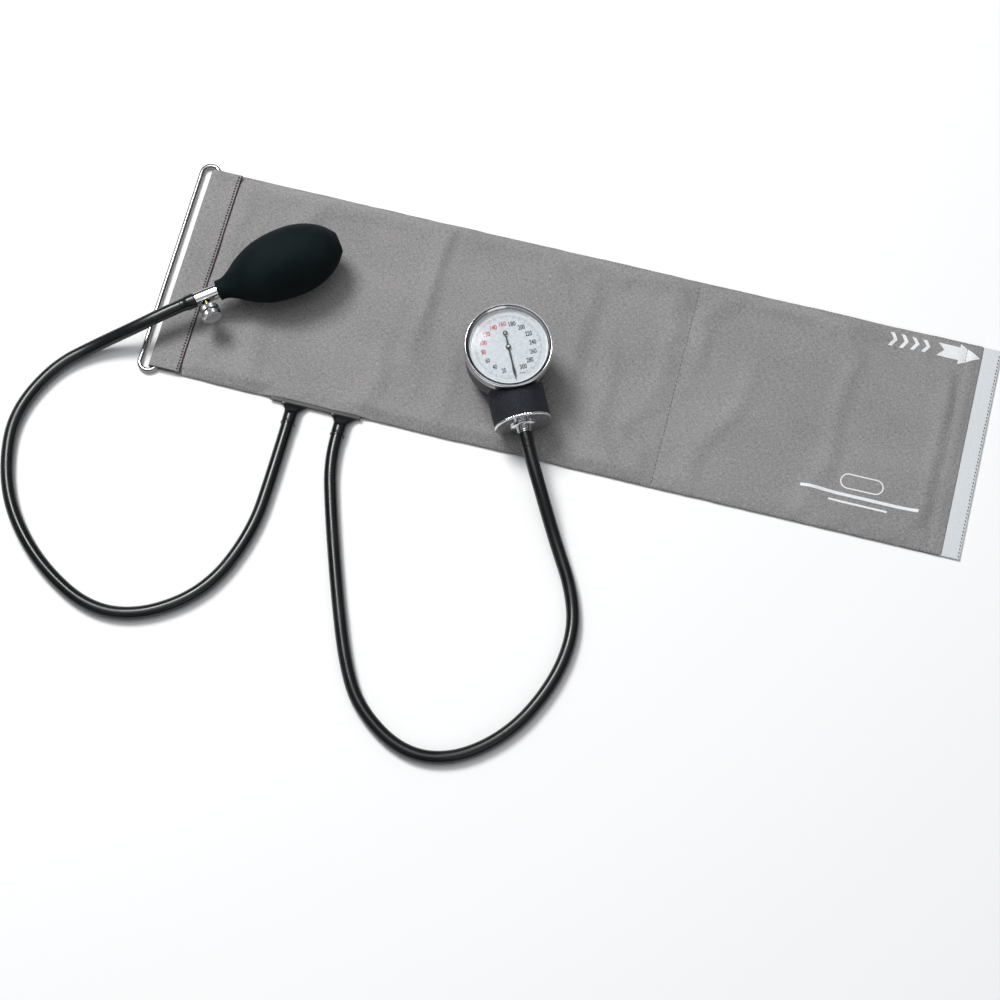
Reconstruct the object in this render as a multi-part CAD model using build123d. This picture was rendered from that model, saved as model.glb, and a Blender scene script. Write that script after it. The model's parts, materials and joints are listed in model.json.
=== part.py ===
from build123d import *
from math import atan2, cos, degrees, pi, radians, sin, sqrt, tan
import os

# An aneroid blood pressure set laid flat: a cloth cuff with a bladder and a pull ring, a squeeze bulb with
# a release valve, and a dial gauge, joined by two rubber hoses. Millimetres, +X along the cuff towards its
# tail, +Z up. The origin is under the middle of the cuff, on the surface that it lies on.

# ---- driving dimensions: cuff ----
CUFF_WIDTH = 140.0
SLEEVE_LEFT = -248.5          # folded edge of the ring sleeve
POCKET_LEFT = -229.4          # sleeve seam
POCKET_RIGHT = 67.0           # seam where the bladder pocket ends and the tail begins
CLOTH_RIGHT = 243.5           # cut edge of the grey cloth
STRIP_RIGHT = 256.0           # outer edge of the white end strip
CLOTH = 0.6                   # thickness of one cloth panel
TAPE = 0.8                    # thickness of hook tape and loop patch
SEAM_GAP = 0.4                # gap between pocket and tail panels at the fold line
SEAM_ALLOWANCE = 7.0
LOOP_PATCH = [(-170.0, 20.0), (-55.0, 55.0)]   # under the pocket: along, across
HOOK_LEFT = 217.0               # inner edge of the hook tape under the tail
POCKET_FLOOR = TAPE + CLOTH   # top of the outer panel
POCKET_ROOF = 3.8             # underside of the inner panel

# ---- driving dimensions: ring ----
RING_WIRE = 1.5               # wire radius
RING_PITCH = 11.0             # distance between the ring's two bars
RING_INNER_X = -243.5         # bar inside the sleeve
RING_HALF_STRAIGHT = 66.5     # half length of the straight bars
RING_Z = 2.2

# ---- driving dimensions: bladder and hoses ----
BLADDER = [(-224.0, 6.0), (-61.5, 61.5), (1.5, 3.7)]
BULB_PORT_X = -154.8
GAUGE_PORT_X = -123.8
PORT_ROOT_Y = -71.8
PORT_TIP_Y = -85.6
PORT_Z = 4.6
PORT_RADIUS = 4.5
HOSE_OUTER = 4.0
HOSE_INNER = 2.2
FLOOR_Z = 4.1                 # height of a hose's middle where it lies on the surface

# ---- driving dimensions: bulb and release valve (own frame: X from the neck to the tail) ----
BULB_ORIGIN = (-216.9, -18.9, 22.9)
BULB_YAW = 36.7
BULB_TILT = 4.0
BULB_LENGTH = 80.0
BULB_WALL = 2.2
VALVE_LENGTH = 14.8
VALVE_RADIUS = 4.5
BARB_LENGTH = 8.0
SPIGOT_LENGTH = 8.5
KNOB_ROLL = 8.0               # the screw leans this far up from level
SCREW_X = -9.0                # place of the release screw along the valve
CHECK_BALL = 1.8
CHECK_BORE = 2.1
SEAT_HOLE = 1.0

# ---- driving dimensions: gauge (own frame: dial faces +Z, the drum leaves along -Y) ----
GAUGE_ORIGIN = (-35.1, -18.5, 25.2)
GAUGE_YAW = 27.0
GAUGE_TILT = 4.0
GAUGE_ROLL = 2.0
CASE_RADIUS = 25.0
BEZEL_RADIUS = 26.7
CASE_WALL = 1.2
CASE_RIM_Z = 17.0
CASE_BACK_Z = -18.3
DIAL_Z = 15.4
DRUM_RADIUS = 16.3
DRUM_END = -42.7
DRUM_WEB = (-27.8, -26.8)     # wall that the push rod passes through
NOZZLE_END = -49.5
ROD_RADIUS = 1.0

# ---- driving dimensions: gauge movement ----
MODULE = 0.2
PINION_TEETH = 12
SECTOR_TEETH = 144
SECTOR_ANGLE = 28.0           # swing of the sector gear for the whole scale
ARM_LENGTH = 4.5              # from the sector's pivot to the pin that the push rod lifts
SECTOR_PIVOT_X = -4.5
PLATE_Z = 7.0                 # inner faces of the two movement plates, above and below the drum's axis
PILLAR_ANGLES = (20, 140, 220, 320)
PILLAR_CIRCLE = 18.0

centre_distance = MODULE * (PINION_TEETH + SECTOR_TEETH) / 2
sector_pivot_y = -sqrt(centre_distance**2 - SECTOR_PIVOT_X**2)

bulb_place = Pos(*BULB_ORIGIN) * Rot(0, 0, BULB_YAW) * Rot(0, -BULB_TILT, 0)
screw_place = bulb_place * Pos(SCREW_X, 0, 0) * Rot(-KNOB_ROLL, 0, 0) * Rot(90, 0, 0)
gauge_place = Pos(*GAUGE_ORIGIN) * Rot(0, 0, GAUGE_YAW) * Rot(GAUGE_TILT, 0, 0) * Rot(0, GAUGE_ROLL, 0)

# The hoses' routes, chosen by hand: corners of the path, from the bladder's port to the far fitting.
BULB_HOSE_ROUTE = [
    (BULB_PORT_X, PORT_TIP_Y, PORT_Z),
    (BULB_PORT_X, -118.0, PORT_Z),
    (-156.0, -157.5, FLOOR_Z),
    (-171.2, -198.6, FLOOR_Z),
    (-202.9, -223.7, FLOOR_Z),
    (-236.0, -228.5, FLOOR_Z),
    (-272.0, -209.5, FLOOR_Z),
    (-299.0, -182.0, FLOOR_Z),
    (-313.0, -152.0, FLOOR_Z),
    (-317.5, -119.0, FLOOR_Z),
    (-303.6, -84.5, FLOOR_Z),
    (-282.0, -65.2, 6.5),
    (-257.5, -51.0, 18.8),
]
GAUGE_HOSE_ROUTE = [
    (GAUGE_PORT_X, PORT_TIP_Y, PORT_Z),
    (GAUGE_PORT_X, -102.0, PORT_Z),
    (-114.2, -133.5, FLOOR_Z),
    (-97.0, -182.0, FLOOR_Z),
    (-80.5, -223.5, FLOOR_Z),
    (-65.0, -248.0, FLOOR_Z),
    (-34.5, -267.1, FLOOR_Z),
    (-4.0, -263.5, FLOOR_Z),
    (24.0, -239.5, FLOOR_Z),
    (40.5, -205.0, FLOOR_Z),
    (44.8, -173.0, FLOOR_Z),
    (37.5, -147.0, FLOOR_Z),
    (20.0, -119.0, 7.0),
    (4.5, -93.5, 17.0),
]
LAST_RUN = 16.0               # straight end of each hose, over its barb


# ---- helpers ----
def slab(x, y, z):
    """A box between the two ends given for each axis."""
    middle = [(a + b) / 2 for a, b in (x, y, z)]
    return Pos(*middle) * Box(x[1] - x[0], y[1] - y[0], z[1] - z[0])


def rod_along(axis, start, end, radius, at=(0, 0)):
    """A cylinder along one axis of the frame, from start to end, at the given place across it."""
    length = abs(end - start)
    middle = (start + end) / 2
    if axis == "X":
        return Pos(middle, at[0], at[1]) * Rot(0, 90, 0) * Cylinder(radius, length)
    if axis == "Y":
        return Pos(at[0], middle, at[1]) * Rot(90, 0, 0) * Cylinder(radius, length)
    return Pos(at[0], at[1], middle) * Cylinder(radius, length)


def tube_along(axis, start, end, outer, inner, at=(0, 0)):
    return rod_along(axis, start, end, outer, at) - rod_along(axis, start, end, inner, at)


def turned(points, axis):
    """A solid of revolution about a frame axis from (along, radius) corners."""
    if axis == "X":
        outline = Polyline(*[(a, r) for a, r in points], close=True)
        return revolve(make_face(outline), Axis.X)
    if axis == "Y":
        outline = Polyline(*[(r, a) for a, r in points], close=True)
        return revolve(make_face(outline), Axis.Y)
    outline = Polyline(*[(r, 0, a) for a, r in points], close=True)
    return revolve(make_face(outline), Axis.Z)


# ---- cuff: pocket ----
def inner_panel():
    return slab((POCKET_LEFT, POCKET_RIGHT - SEAM_GAP), (-CUFF_WIDTH / 2, CUFF_WIDTH / 2),
                (POCKET_ROOF, POCKET_ROOF + CLOTH))


def outer_panel():
    return slab((POCKET_LEFT, POCKET_RIGHT - SEAM_GAP), (-CUFF_WIDTH / 2, CUFF_WIDTH / 2),
                (TAPE, POCKET_FLOOR))


def seam_allowance(x, side):
    """The turned-in cloth along one long edge of the pocket, between the two panels."""
    edge = side * CUFF_WIDTH / 2
    inside = edge - side * SEAM_ALLOWANCE
    return slab(x, sorted((edge, inside)), (POCKET_FLOOR, POCKET_ROOF))


def ring_sleeve():
    """A flat tube of cloth, open at both ends, that the ring's inner bar runs through."""
    half_width = RING_HALF_STRAIGHT
    outer = slab((SLEEVE_LEFT, POCKET_LEFT - 0.05), (-half_width, half_width), (0.0, 4.4))
    left_edges = outer.edges().filter_by(Axis.Y).sort_by(Axis.X)[:2]
    outer = fillet(left_edges, 2.1)
    channel = slab((SLEEVE_LEFT + CLOTH, POCKET_LEFT - 1.2), (-half_width, half_width),
                   (CLOTH, 4.4 - CLOTH))
    channel_edges = channel.edges().filter_by(Axis.Y).sort_by(Axis.X)[:2]
    return outer - fillet(channel_edges, 1.5)


def loop_patch():
    return slab(*LOOP_PATCH, (0.0, TAPE))


# ---- cuff: bladder and ports ----
TAB_X = (-170.0, -113.5)


def bladder():
    """A flat rubber bag with a thin air space and a tab that carries the two hose ports."""
    x, y, z = BLADDER
    bag = fillet(slab(x, y, z).edges().filter_by(Axis.Z), 12.0)
    bag += slab(TAB_X, (PORT_ROOT_Y, y[0] + 1), z)
    air = slab((x[0] + 8, x[1] - 8), (y[0] + 7, y[1] - 7), (2.4, 2.8))
    bag -= air
    for port_x in (BULB_PORT_X, GAUGE_PORT_X):
        bag -= slab((port_x - 3, port_x + 3), (PORT_ROOT_Y, y[0] + 8), (2.4, 2.8))
    return bag


def port(x):
    """The root of a hose: flat where it leaves the bladder's tab, round where the hose goes on."""
    middle_z = sum(BLADDER[2]) / 2
    round_y = PORT_ROOT_Y - 8.0
    root = Plane.XZ.offset(-PORT_ROOT_Y)
    ring = Plane.XZ.offset(-round_y)
    flat_end = root * Pos(x, middle_z) * RectangleRounded(18.0, 2.2, 1.0)
    body = loft([flat_end, ring * Pos(x, PORT_Z) * Circle(PORT_RADIUS)])
    body += rod_along("Y", round_y, PORT_TIP_Y, PORT_RADIUS, (x, PORT_Z))
    slot = root * Pos(x, middle_z) * RectangleRounded(6.0, 0.4, 0.19)
    passage = loft([slot, ring * Pos(x, PORT_Z) * Circle(HOSE_INNER)])
    passage += rod_along("Y", round_y, PORT_TIP_Y, HOSE_INNER, (x, PORT_Z))
    return body - passage


# ---- cuff: tail ----
def tail_panel(low):
    return slab((POCKET_RIGHT + SEAM_GAP, CLOTH_RIGHT), (-CUFF_WIDTH / 2, CUFF_WIDTH / 2), (low, low + CLOTH))


def hook_tape():
    return slab((HOOK_LEFT, CLOTH_RIGHT), (-CUFF_WIDTH / 2, CUFF_WIDTH / 2), (0.0, TAPE))


def end_strip():
    """The white tape folded along the tail's end."""
    strip = slab((CLOTH_RIGHT, STRIP_RIGHT), (-CUFF_WIDTH / 2, CUFF_WIDTH / 2), (0.0, TAPE + 2 * CLOTH))
    return fillet(strip.edges().filter_by(Axis.Y).sort_by(Axis.X)[-2:], 0.9)


# ---- ring ----
def d_ring():
    """A long closed ring of round wire: two straight bars joined by half circles."""
    outer_x = RING_INNER_X - RING_PITCH
    middle_x = RING_INNER_X - RING_PITCH / 2
    ring = rod_along("Y", -RING_HALF_STRAIGHT, RING_HALF_STRAIGHT, RING_WIRE, (RING_INNER_X, RING_Z))
    ring += rod_along("Y", -RING_HALF_STRAIGHT, RING_HALF_STRAIGHT, RING_WIRE, (outer_x, RING_Z))
    for side in (1, -1):
        y = side * RING_HALF_STRAIGHT
        section = Plane.XZ.offset(-y) * Pos(RING_INNER_X, RING_Z) * Circle(RING_WIRE)
        ring += revolve(section, Axis((middle_x, y, RING_Z), (0, 0, side)), 180)
    return ring


# ---- hoses ----
def corner_radii(route, share=0.45):
    """The largest arc that each corner's two runs leave room for."""
    radii = []
    for before, here, after in zip(route, route[1:], route[2:]):
        run_in = Vector(*here) - Vector(*before)
        run_out = Vector(*after) - Vector(*here)
        half_turn = radians(run_in.get_angle(run_out)) / 2
        radii.append(share * min(run_in.length, run_out.length) / tan(half_turn))
    return radii


def hose(name, route):
    """A plain rubber tube along straight runs joined by tangent arcs."""
    radii = corner_radii(route)
    path = FilletPolyline(*route, radius=radii)
    start = Vector(*route[1]) - Vector(*route[0])
    plane = Plane(origin=route[0], z_dir=start)
    outer = sweep(plane * Circle(HOSE_OUTER), path=path)
    inner = sweep(plane * Circle(HOSE_INNER), path=path)
    tube = outer - inner
    expected = pi * (HOSE_OUTER**2 - HOSE_INNER**2) * path.length
    print(name, "length %.1f" % path.length, "radii", [round(r) for r in radii],
          "volume / expected %.4f" % (tube.volume / expected))
    return tube


def end_of_route(place, fitting, direction):
    """The straight last run of a hose, from where it lines up with its fitting to the fitting's face."""
    face = (place * Pos(*fitting)).position
    toward = (place * Pos(*[f + d for f, d in zip(fitting, direction)])).position - face
    lined_up = face + toward * LAST_RUN
    return [tuple(lined_up), tuple(face)]


# ---- bulb ----
BULB_OUTLINE = [(4.5, 6.5), (16.0, 13.4), (30.0, 19.5), (47.0, 21.4), (63.0, 18.9), (74.5, 12.9), (79.2, 6.6)]
BULB_BORE = 4.2
TAIL_BORE = 4.6


def bulb_shell():
    """A hollow rubber egg with a neck for the valve and a flat tail with the inlet bore."""
    curve = Spline(*BULB_OUTLINE)
    outline = Polyline((0, 0), (0, 6.3), BULB_OUTLINE[0])
    tail = Polyline(BULB_OUTLINE[-1], (BULB_LENGTH, 5.6), (BULB_LENGTH, 0), (0, 0))
    egg = revolve(make_face(outline + curve + tail), Axis.X)
    hollow_end = BULB_LENGTH - 9.0
    inner_points = [(11.0, BULB_BORE), (17.5, 11.2), (30.0, 17.2), (47.0, 21.4 - BULB_WALL), (61.5, 16.9),
                    (69.0, 11.0), (hollow_end, TAIL_BORE)]
    hollow_edge = Polyline(inner_points[-1], (hollow_end, 0), (11.0, 0), inner_points[0])
    hollow = revolve(make_face(Spline(*inner_points) + hollow_edge), Axis.X)
    egg -= hollow
    egg -= rod_along("X", 0, 12.0, BULB_BORE)
    egg -= rod_along("X", BULB_LENGTH - 12.0, BULB_LENGTH, TAIL_BORE)
    return egg


def check_ball_seat(face, chamber_end):
    """Removed from a valve: the hole, the cone that the ball closes and the chamber that it moves in."""
    cone_end = face - (CHECK_BORE - SEAT_HOLE)
    points = [(face + 6.0, 0), (face + 6.0, SEAT_HOLE), (face, SEAT_HOLE), (cone_end, CHECK_BORE),
              (chamber_end, CHECK_BORE), (chamber_end, 0)]
    return turned(points, "X")


def check_ball(face):
    """A ball just off its 45 degree seat."""
    touching = face + SEAT_HOLE - CHECK_BALL * sqrt(2)
    return Pos(touching - 0.05, 0, 0) * Sphere(CHECK_BALL)


def ball_retainer(start, end):
    """A small disc with air holes that stops the ball."""
    disc = rod_along("X", start, end, CHECK_BORE - 0.05)
    for turn in (0, 120, 240):
        across = (1.2 * cos(radians(turn)), 1.2 * sin(radians(turn)))
        disc -= rod_along("X", start, end, 0.45, across)
    return disc


INLET_FACE = BULB_LENGTH - 5.0
OUTLET_FACE = 4.0


def inlet_valve_body():
    body = rod_along("X", BULB_LENGTH - 13.0, BULB_LENGTH - 1.0, TAIL_BORE - 0.05)
    body = chamfer(body.edges().filter_by(GeomType.CIRCLE), 0.4)
    return body - check_ball_seat(INLET_FACE, INLET_FACE - 9.0)


# ---- release valve ----
def valve_body():
    """A turned brass body, chromed: spigot for the bulb, barb for the hose and a side hole for the screw."""
    body = rod_along("X", -VALVE_LENGTH, 0, VALVE_RADIUS)
    body = chamfer(body.edges().filter_by(GeomType.CIRCLE), 0.35)
    body += rod_along("X", 0, SPIGOT_LENGTH, BULB_BORE - 0.05)
    barb_end = -VALVE_LENGTH - BARB_LENGTH
    body += rod_along("X", -VALVE_LENGTH, barb_end, HOSE_INNER - 0.35)
    for step in (2.0, 4.5, 7.0):
        start = -VALVE_LENGTH - step
        body += turned([(start + 1.2, 0), (start + 1.2, HOSE_INNER - 0.05), (start - 0.8, HOSE_INNER - 0.4),
                        (start - 0.8, 0)], "X")
    body -= check_ball_seat(OUTLET_FACE, -1.9)
    body -= rod_along("X", -1.9, barb_end, SEAT_HOLE)
    side_hole = turned([(0.9, 0), (0.9, 0.65), (1.8, 0.65), (1.8, 1.56), (2.7, 1.56), (2.7, 2.6), (6.0, 2.6),
                        (6.0, 0)], "Z")
    return body - Pos(SCREW_X, 0, 0) * Rot(-KNOB_ROLL, 0, 0) * Rot(90, 0, 0) * side_hole


KNOB_START = 9.1
KNOB_END = 17.1
KNOB_RADIUS = 6.0
STEM_RADIUS = 1.5


def needle():
    """The screw's smooth stem with its cone tip, along +Z from the valve's middle."""
    return turned([(1.5, 0), (1.5, 0.3), (2.7, STEM_RADIUS), (KNOB_END - 1.7, STEM_RADIUS),
                   (KNOB_END - 1.7, 0)], "Z")


def stem_o_ring():
    return Pos(0, 0, 3.2) * Torus(2.06, 0.47)


def knob():
    """A knurled knob in two bands with a groove between them."""
    middle = (KNOB_START + KNOB_END) / 2
    outline = [(KNOB_START, 0), (KNOB_START, KNOB_RADIUS - 0.7), (KNOB_START + 0.5, KNOB_RADIUS),
               (middle - 0.45, KNOB_RADIUS), (middle - 0.3, KNOB_RADIUS - 0.8),
               (middle + 0.3, KNOB_RADIUS - 0.8), (middle + 0.45, KNOB_RADIUS),
               (KNOB_END - 0.5, KNOB_RADIUS), (KNOB_END, KNOB_RADIUS - 0.7),
               (KNOB_END, 0)]
    body = turned(outline, "Z")
    body -= rod_along("Z", KNOB_START, KNOB_END - 1.3, STEM_RADIUS + 0.06)
    knurl = Pos(0, 0, middle) * Cylinder(0.22, KNOB_END - KNOB_START)
    return body - [place * knurl for place in PolarLocations(KNOB_RADIUS + 0.02, 36)]


# ---- gauge: case and front ----
def case_envelope(grow=0.0):
    """Outside of the case: a straight wall above a deep rounded back."""
    radius = CASE_RADIUS + grow
    bowl = 14.0
    corner_z = CASE_BACK_Z + bowl - grow
    wall = Line((radius, 0, CASE_RIM_Z), (radius, 0, corner_z))
    middle = (radius - bowl, 0, corner_z)
    arc_middle = (middle[0] + bowl * cos(pi / 4), 0, middle[2] - bowl * sin(pi / 4))
    back = ThreePointArc((radius, 0, corner_z), arc_middle, (middle[0], 0, middle[2] - bowl))
    close = Polyline((middle[0], 0, middle[2] - bowl), (0, 0, middle[2] - bowl), (0, 0, CASE_RIM_Z),
                     (radius, 0, CASE_RIM_Z))
    return revolve(make_face(wall + back + close), Axis.Z)


def gauge_case():
    """A spun metal cup with a ledge for the dial, a hole towards the drum and three screw holes."""
    cup = case_envelope() - Pos(0, 0, 0.001) * case_envelope(-CASE_WALL)
    cup -= rod_along("Z", DIAL_Z, CASE_RIM_Z, CASE_RADIUS - 0.6)
    cup -= rod_along("Y", -30.0, -20.0, 2.0)
    for x, y in post_places():
        cup -= rod_along("Z", CASE_BACK_Z - 1, CASE_BACK_Z + 3, 1.0, (x, y))
    return cup


def post_places():
    return [(7.0 * cos(radians(turn)), 7.0 * sin(radians(turn))) for turn in (90, 210, 330)]


def bezel():
    """The chromed rim that presses over the case and holds the lens."""
    seat = CASE_RIM_Z + 0.4
    outline = [(12.0, 25.06), (12.0, BEZEL_RADIUS - 0.6), (12.6, BEZEL_RADIUS), (18.6, BEZEL_RADIUS),
               (19.6, BEZEL_RADIUS - 0.3), (20.2, BEZEL_RADIUS - 1.0),
               (20.3, BEZEL_RADIUS - 1.7), (20.0, 24.6), (19.0, 23.9), (seat + 1.1, 23.7), (seat + 1.1, 25.3), (seat - 0.2, 25.3), (seat - 0.2, 25.06)]
    return turned(outline, "Z")


def dome(edge_radius, edge_z, height):
    """A ball whose cap rises by height inside a circle of the given radius."""
    ball_radius = (edge_radius**2 + height**2) / (2 * height)
    return Pos(0, 0, edge_z + height - ball_radius) * Sphere(ball_radius)


def lens():
    """A clear dome with a flat rim under the bezel's lip."""
    rim = CASE_RIM_Z + 0.4
    top = rim + 1.1
    cap = dome(23.2, top, 3.0) & rod_along("Z", rim, top + 4.0, 23.2)
    return cap + rod_along("Z", rim, top, 25.2) - dome(22.8, rim, 3.0)


def lens_gasket():
    return tube_along("Z", DIAL_Z + 0.6, CASE_RIM_Z + 0.4, 24.3, 23.2)


def dial_plate():
    return tube_along("Z", DIAL_Z, DIAL_Z + 0.6, 24.3, 1.4)


def pointer():
    """A thin hand that points down the dial, with a small ring on its tail."""
    low = DIAL_Z + 1.9
    thickness = 0.3
    right = [(0.3, 7.6), (0.55, 0), (0.45, -12.0), (0.8, -14.5), (0.75, -17.0), (0.15, -20.3)]
    left = [(-x, y) for x, y in reversed(right)]
    blade = Polyline(*right, *left, close=True)
    hand = make_face(blade) + Circle(1.5)
    hand += Pos(0, 8.7) * Circle(1.45)
    hand -= Pos(0, 8.7) * Circle(0.85)
    hand -= Circle(0.72)
    return Pos(0, 0, low) * extrude(hand, thickness)


def pointer_hub():
    """A brass boss pressed on the arbor; the hand sits on its shoulder."""
    low = DIAL_Z + 0.9
    return turned([(low, 0.53), (low, 1.2), (low + 0.98, 1.2), (low + 0.98, 0.7), (low + 1.9, 0.7),
                   (low + 1.9, 0.53)], "Z")


# ---- gauge: movement ----
def involute_point(base_radius, radius, mirror, offset):
    """A point of a tooth flank at the given radius; below the base circle the flank is radial."""
    roll = sqrt(max((radius / base_radius) ** 2 - 1, 0))
    angle = roll - atan2(roll, 1)
    turn = offset - mirror * angle
    return radius * cos(turn), radius * sin(turn)


def tooth(teeth, middle, addendum, dedendum):
    """The outline of one gear tooth whose middle points along the given angle in radians."""
    pitch_radius = MODULE * teeth / 2
    pressure = radians(20)
    base_radius = pitch_radius * cos(pressure)
    backlash = 0.03
    half_angle = pi / (2 * teeth) - backlash / 2 / pitch_radius + tan(pressure) - pressure
    radii = [pitch_radius - dedendum + i * (addendum + dedendum) / 4 for i in range(5)]
    right = [involute_point(base_radius, r, -1, middle - half_angle) for r in radii]
    left = [involute_point(base_radius, r, 1, middle + half_angle) for r in reversed(radii)]
    return Polyline(*right, *left, close=True)


def pinion_arbor():
    """The pointer's slender shaft with its pinion and the hairspring's collet, cut from one piece."""
    root_radius = MODULE * PINION_TEETH / 2 - 1.25 * MODULE
    shaft = rod_along("Z", -PLATE_Z - 0.7, -PLATE_Z, 0.35)
    shaft += rod_along("Z", -PLATE_Z + 0.05, PLATE_Z + 1.5, 0.6)
    shaft += rod_along("Z", -PLATE_Z - 0.1, -PLATE_Z + 0.1, 0.35)
    shaft += rod_along("Z", PLATE_Z + 1.5, DIAL_Z + 3.0, 0.5)
    shaft += rod_along("Z", 1.0, 2.6, root_radius + 0.02)
    facing_sector = atan2(sector_pivot_y, SECTOR_PIVOT_X)
    step = 2 * pi / PINION_TEETH
    for i in range(PINION_TEETH):
        outline = tooth(PINION_TEETH, facing_sector + (i + 0.5) * step, MODULE, 1.25 * MODULE)
        shaft += Pos(0, 0, 1.0) * extrude(make_face(outline), 1.6)
    shaft += rod_along("Z", 3.2, 4.4, 1.2)
    return shaft


def sector_gear():
    """A toothed arc on two spokes about its pivot, with a short arm and the pin that the push rod lifts."""
    pitch_radius = MODULE * SECTOR_TEETH / 2
    root_radius = pitch_radius - 1.25 * MODULE
    facing_pinion = atan2(-sector_pivot_y, -SECTOR_PIVOT_X)
    step = 2 * pi / SECTOR_TEETH
    first = -round((SECTOR_ANGLE + 5) / degrees(step))
    last = round(5 / degrees(step))
    low = degrees(facing_pinion + (first - 1) * step)
    high = degrees(facing_pinion + (last + 1) * step)
    rim = Circle(root_radius + 0.02) - Circle(root_radius - 1.4)
    corners = [(20 * cos(radians(a)), 20 * sin(radians(a))) for a in (low, (low + high) / 2, high)]
    wedge = make_face(Polyline((0, 0), *corners, close=True))
    plate = rim & wedge
    for i in range(first, last + 1):
        plate += make_face(tooth(SECTOR_TEETH, facing_pinion + i * step, 0.7 * MODULE, 1.25 * MODULE))
    for spoke in (low + 2.5, high - 2.5):
        plate += Rot(0, 0, spoke) * Pos(root_radius / 2 - 0.4, 0) * Rectangle(root_radius - 0.8, 1.1)
    arm_turn = -SECTOR_ANGLE / 2
    plate += Rot(0, 0, arm_turn) * Pos(ARM_LENGTH / 2, 0) * Rectangle(ARM_LENGTH, 1.1)
    plate += Rot(0, 0, arm_turn) * Pos(ARM_LENGTH, 0) * Circle(0.75)
    plate += Circle(2.2)
    plate -= Circle(0.93)
    gear = Pos(0, 0, 1.5) * extrude(plate, 0.6)
    pin_at = (ARM_LENGTH * cos(radians(arm_turn)), ARM_LENGTH * sin(radians(arm_turn)))
    gear += rod_along("Z", -1.2, 1.6, 0.4, pin_at)
    return Pos(SECTOR_PIVOT_X, sector_pivot_y, 0) * gear


def sector_arbor():
    shaft = rod_along("Z", -PLATE_Z + 0.05, PLATE_Z - 0.05, 0.9)
    shaft += rod_along("Z", -PLATE_Z - 0.6, PLATE_Z + 0.6, 0.4)
    return Pos(SECTOR_PIVOT_X, sector_pivot_y, 0) * shaft


def pillar_places():
    return [(PILLAR_CIRCLE * cos(radians(a)), PILLAR_CIRCLE * sin(radians(a))) for a in PILLAR_ANGLES]


def movement_plate(low, pinion_hole):
    plate = rod_along("Z", low, low + 0.8, 20.5)
    plate -= rod_along("Z", low, low + 0.8, pinion_hole)
    plate -= rod_along("Z", low, low + 0.8, 0.45, (SECTOR_PIVOT_X, sector_pivot_y))
    return plate


def movement_top_plate():
    plate = movement_plate(PLATE_Z, 0.66)
    for place in pillar_places():
        plate -= rod_along("Z", PLATE_Z, PLATE_Z + 0.8, 0.75, place)
    return plate


def movement_bottom_plate():
    return movement_plate(-PLATE_Z - 0.8, 0.4)


def movement_pillars():
    pillars = []
    for place in pillar_places():
        pillar = rod_along("Z", -PLATE_Z, PLATE_Z, 1.5, place)
        pillars.append(pillar - rod_along("Z", 3.0, PLATE_Z, 0.75, place))
    return Compound(pillars)


def movement_screws():
    screws = []
    for x, y in pillar_places():
        screw = rod_along("Z", 3.4, PLATE_Z + 0.8, 0.7, (x, y))
        screw += rod_along("Z", PLATE_Z + 0.8, PLATE_Z + 1.5, 1.4, (x, y))
        screws.append(screw - slab((x - 1.5, x + 1.5), (y - 0.2, y + 0.2), (PLATE_Z + 1.1, PLATE_Z + 1.6)))
    return Compound(screws)


def movement_posts():
    floor = CASE_BACK_Z + CASE_WALL + 0.01
    top = -PLATE_Z - 0.8
    posts = []
    for place in post_places():
        post = rod_along("Z", floor, top, 2.2, place)
        posts.append(post - rod_along("Z", floor, top - 3, 0.75, place))
    return Compound(posts)


def back_screws():
    screws = []
    for x, y in post_places():
        screw = rod_along("Z", CASE_BACK_Z, CASE_BACK_Z + 6.0, 0.7, (x, y))
        screw += rod_along("Z", CASE_BACK_Z - 0.8, CASE_BACK_Z, 1.9, (x, y))
        groove = slab((x - 2, x + 2), (y - 0.25, y + 0.25), (CASE_BACK_Z - 1, CASE_BACK_Z - 0.4))
        screws.append(screw - groove)
    return Compound(screws)


def hairspring():
    """A flat spiral strip between the arbor's collet and the stud."""
    turns = 5
    start_radius = 1.45
    pitch = 0.62
    half_strip = 0.07
    samples = 12 * turns

    def spiral(offset):
        points = []
        for i in range(samples + 1):
            turn = 2 * pi * turns * i / samples
            radius = start_radius + pitch * turn / (2 * pi) + offset
            points.append((radius * cos(turn), radius * sin(turn)))
        return points

    inside = Spline(*spiral(-half_strip))
    outside = Spline(*reversed(spiral(half_strip)))
    ends = Line(inside @ 1, outside @ 0) + Line(outside @ 1, inside @ 0)
    return Pos(0, 0, 3.6) * extrude(make_face(inside + outside + ends), 0.4)


def hairspring_stud():
    reach = 1.45 + 0.62 * 5 + 0.07 + 0.6
    return rod_along("Z", 3.3, PLATE_Z, 0.55, (reach, 0))


# ---- gauge: drum ----
PIN_BOTTOM = -(ARM_LENGTH * sin(radians(SECTOR_ANGLE / 2))) - 0.4
CAPSULE_TOP = -31.0


def push_rod():
    """A round rod with a flat head under the sector's pin and a foot on the capsule."""
    head = sector_pivot_y + PIN_BOTTOM - 0.03
    rod = rod_along("Y", CAPSULE_TOP + 0.02, head, ROD_RADIUS)
    rod += rod_along("Y", head - 0.8, head, 1.5)
    return rod + rod_along("Y", CAPSULE_TOP + 0.02, CAPSULE_TOP + 0.8, 2.4)


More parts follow.
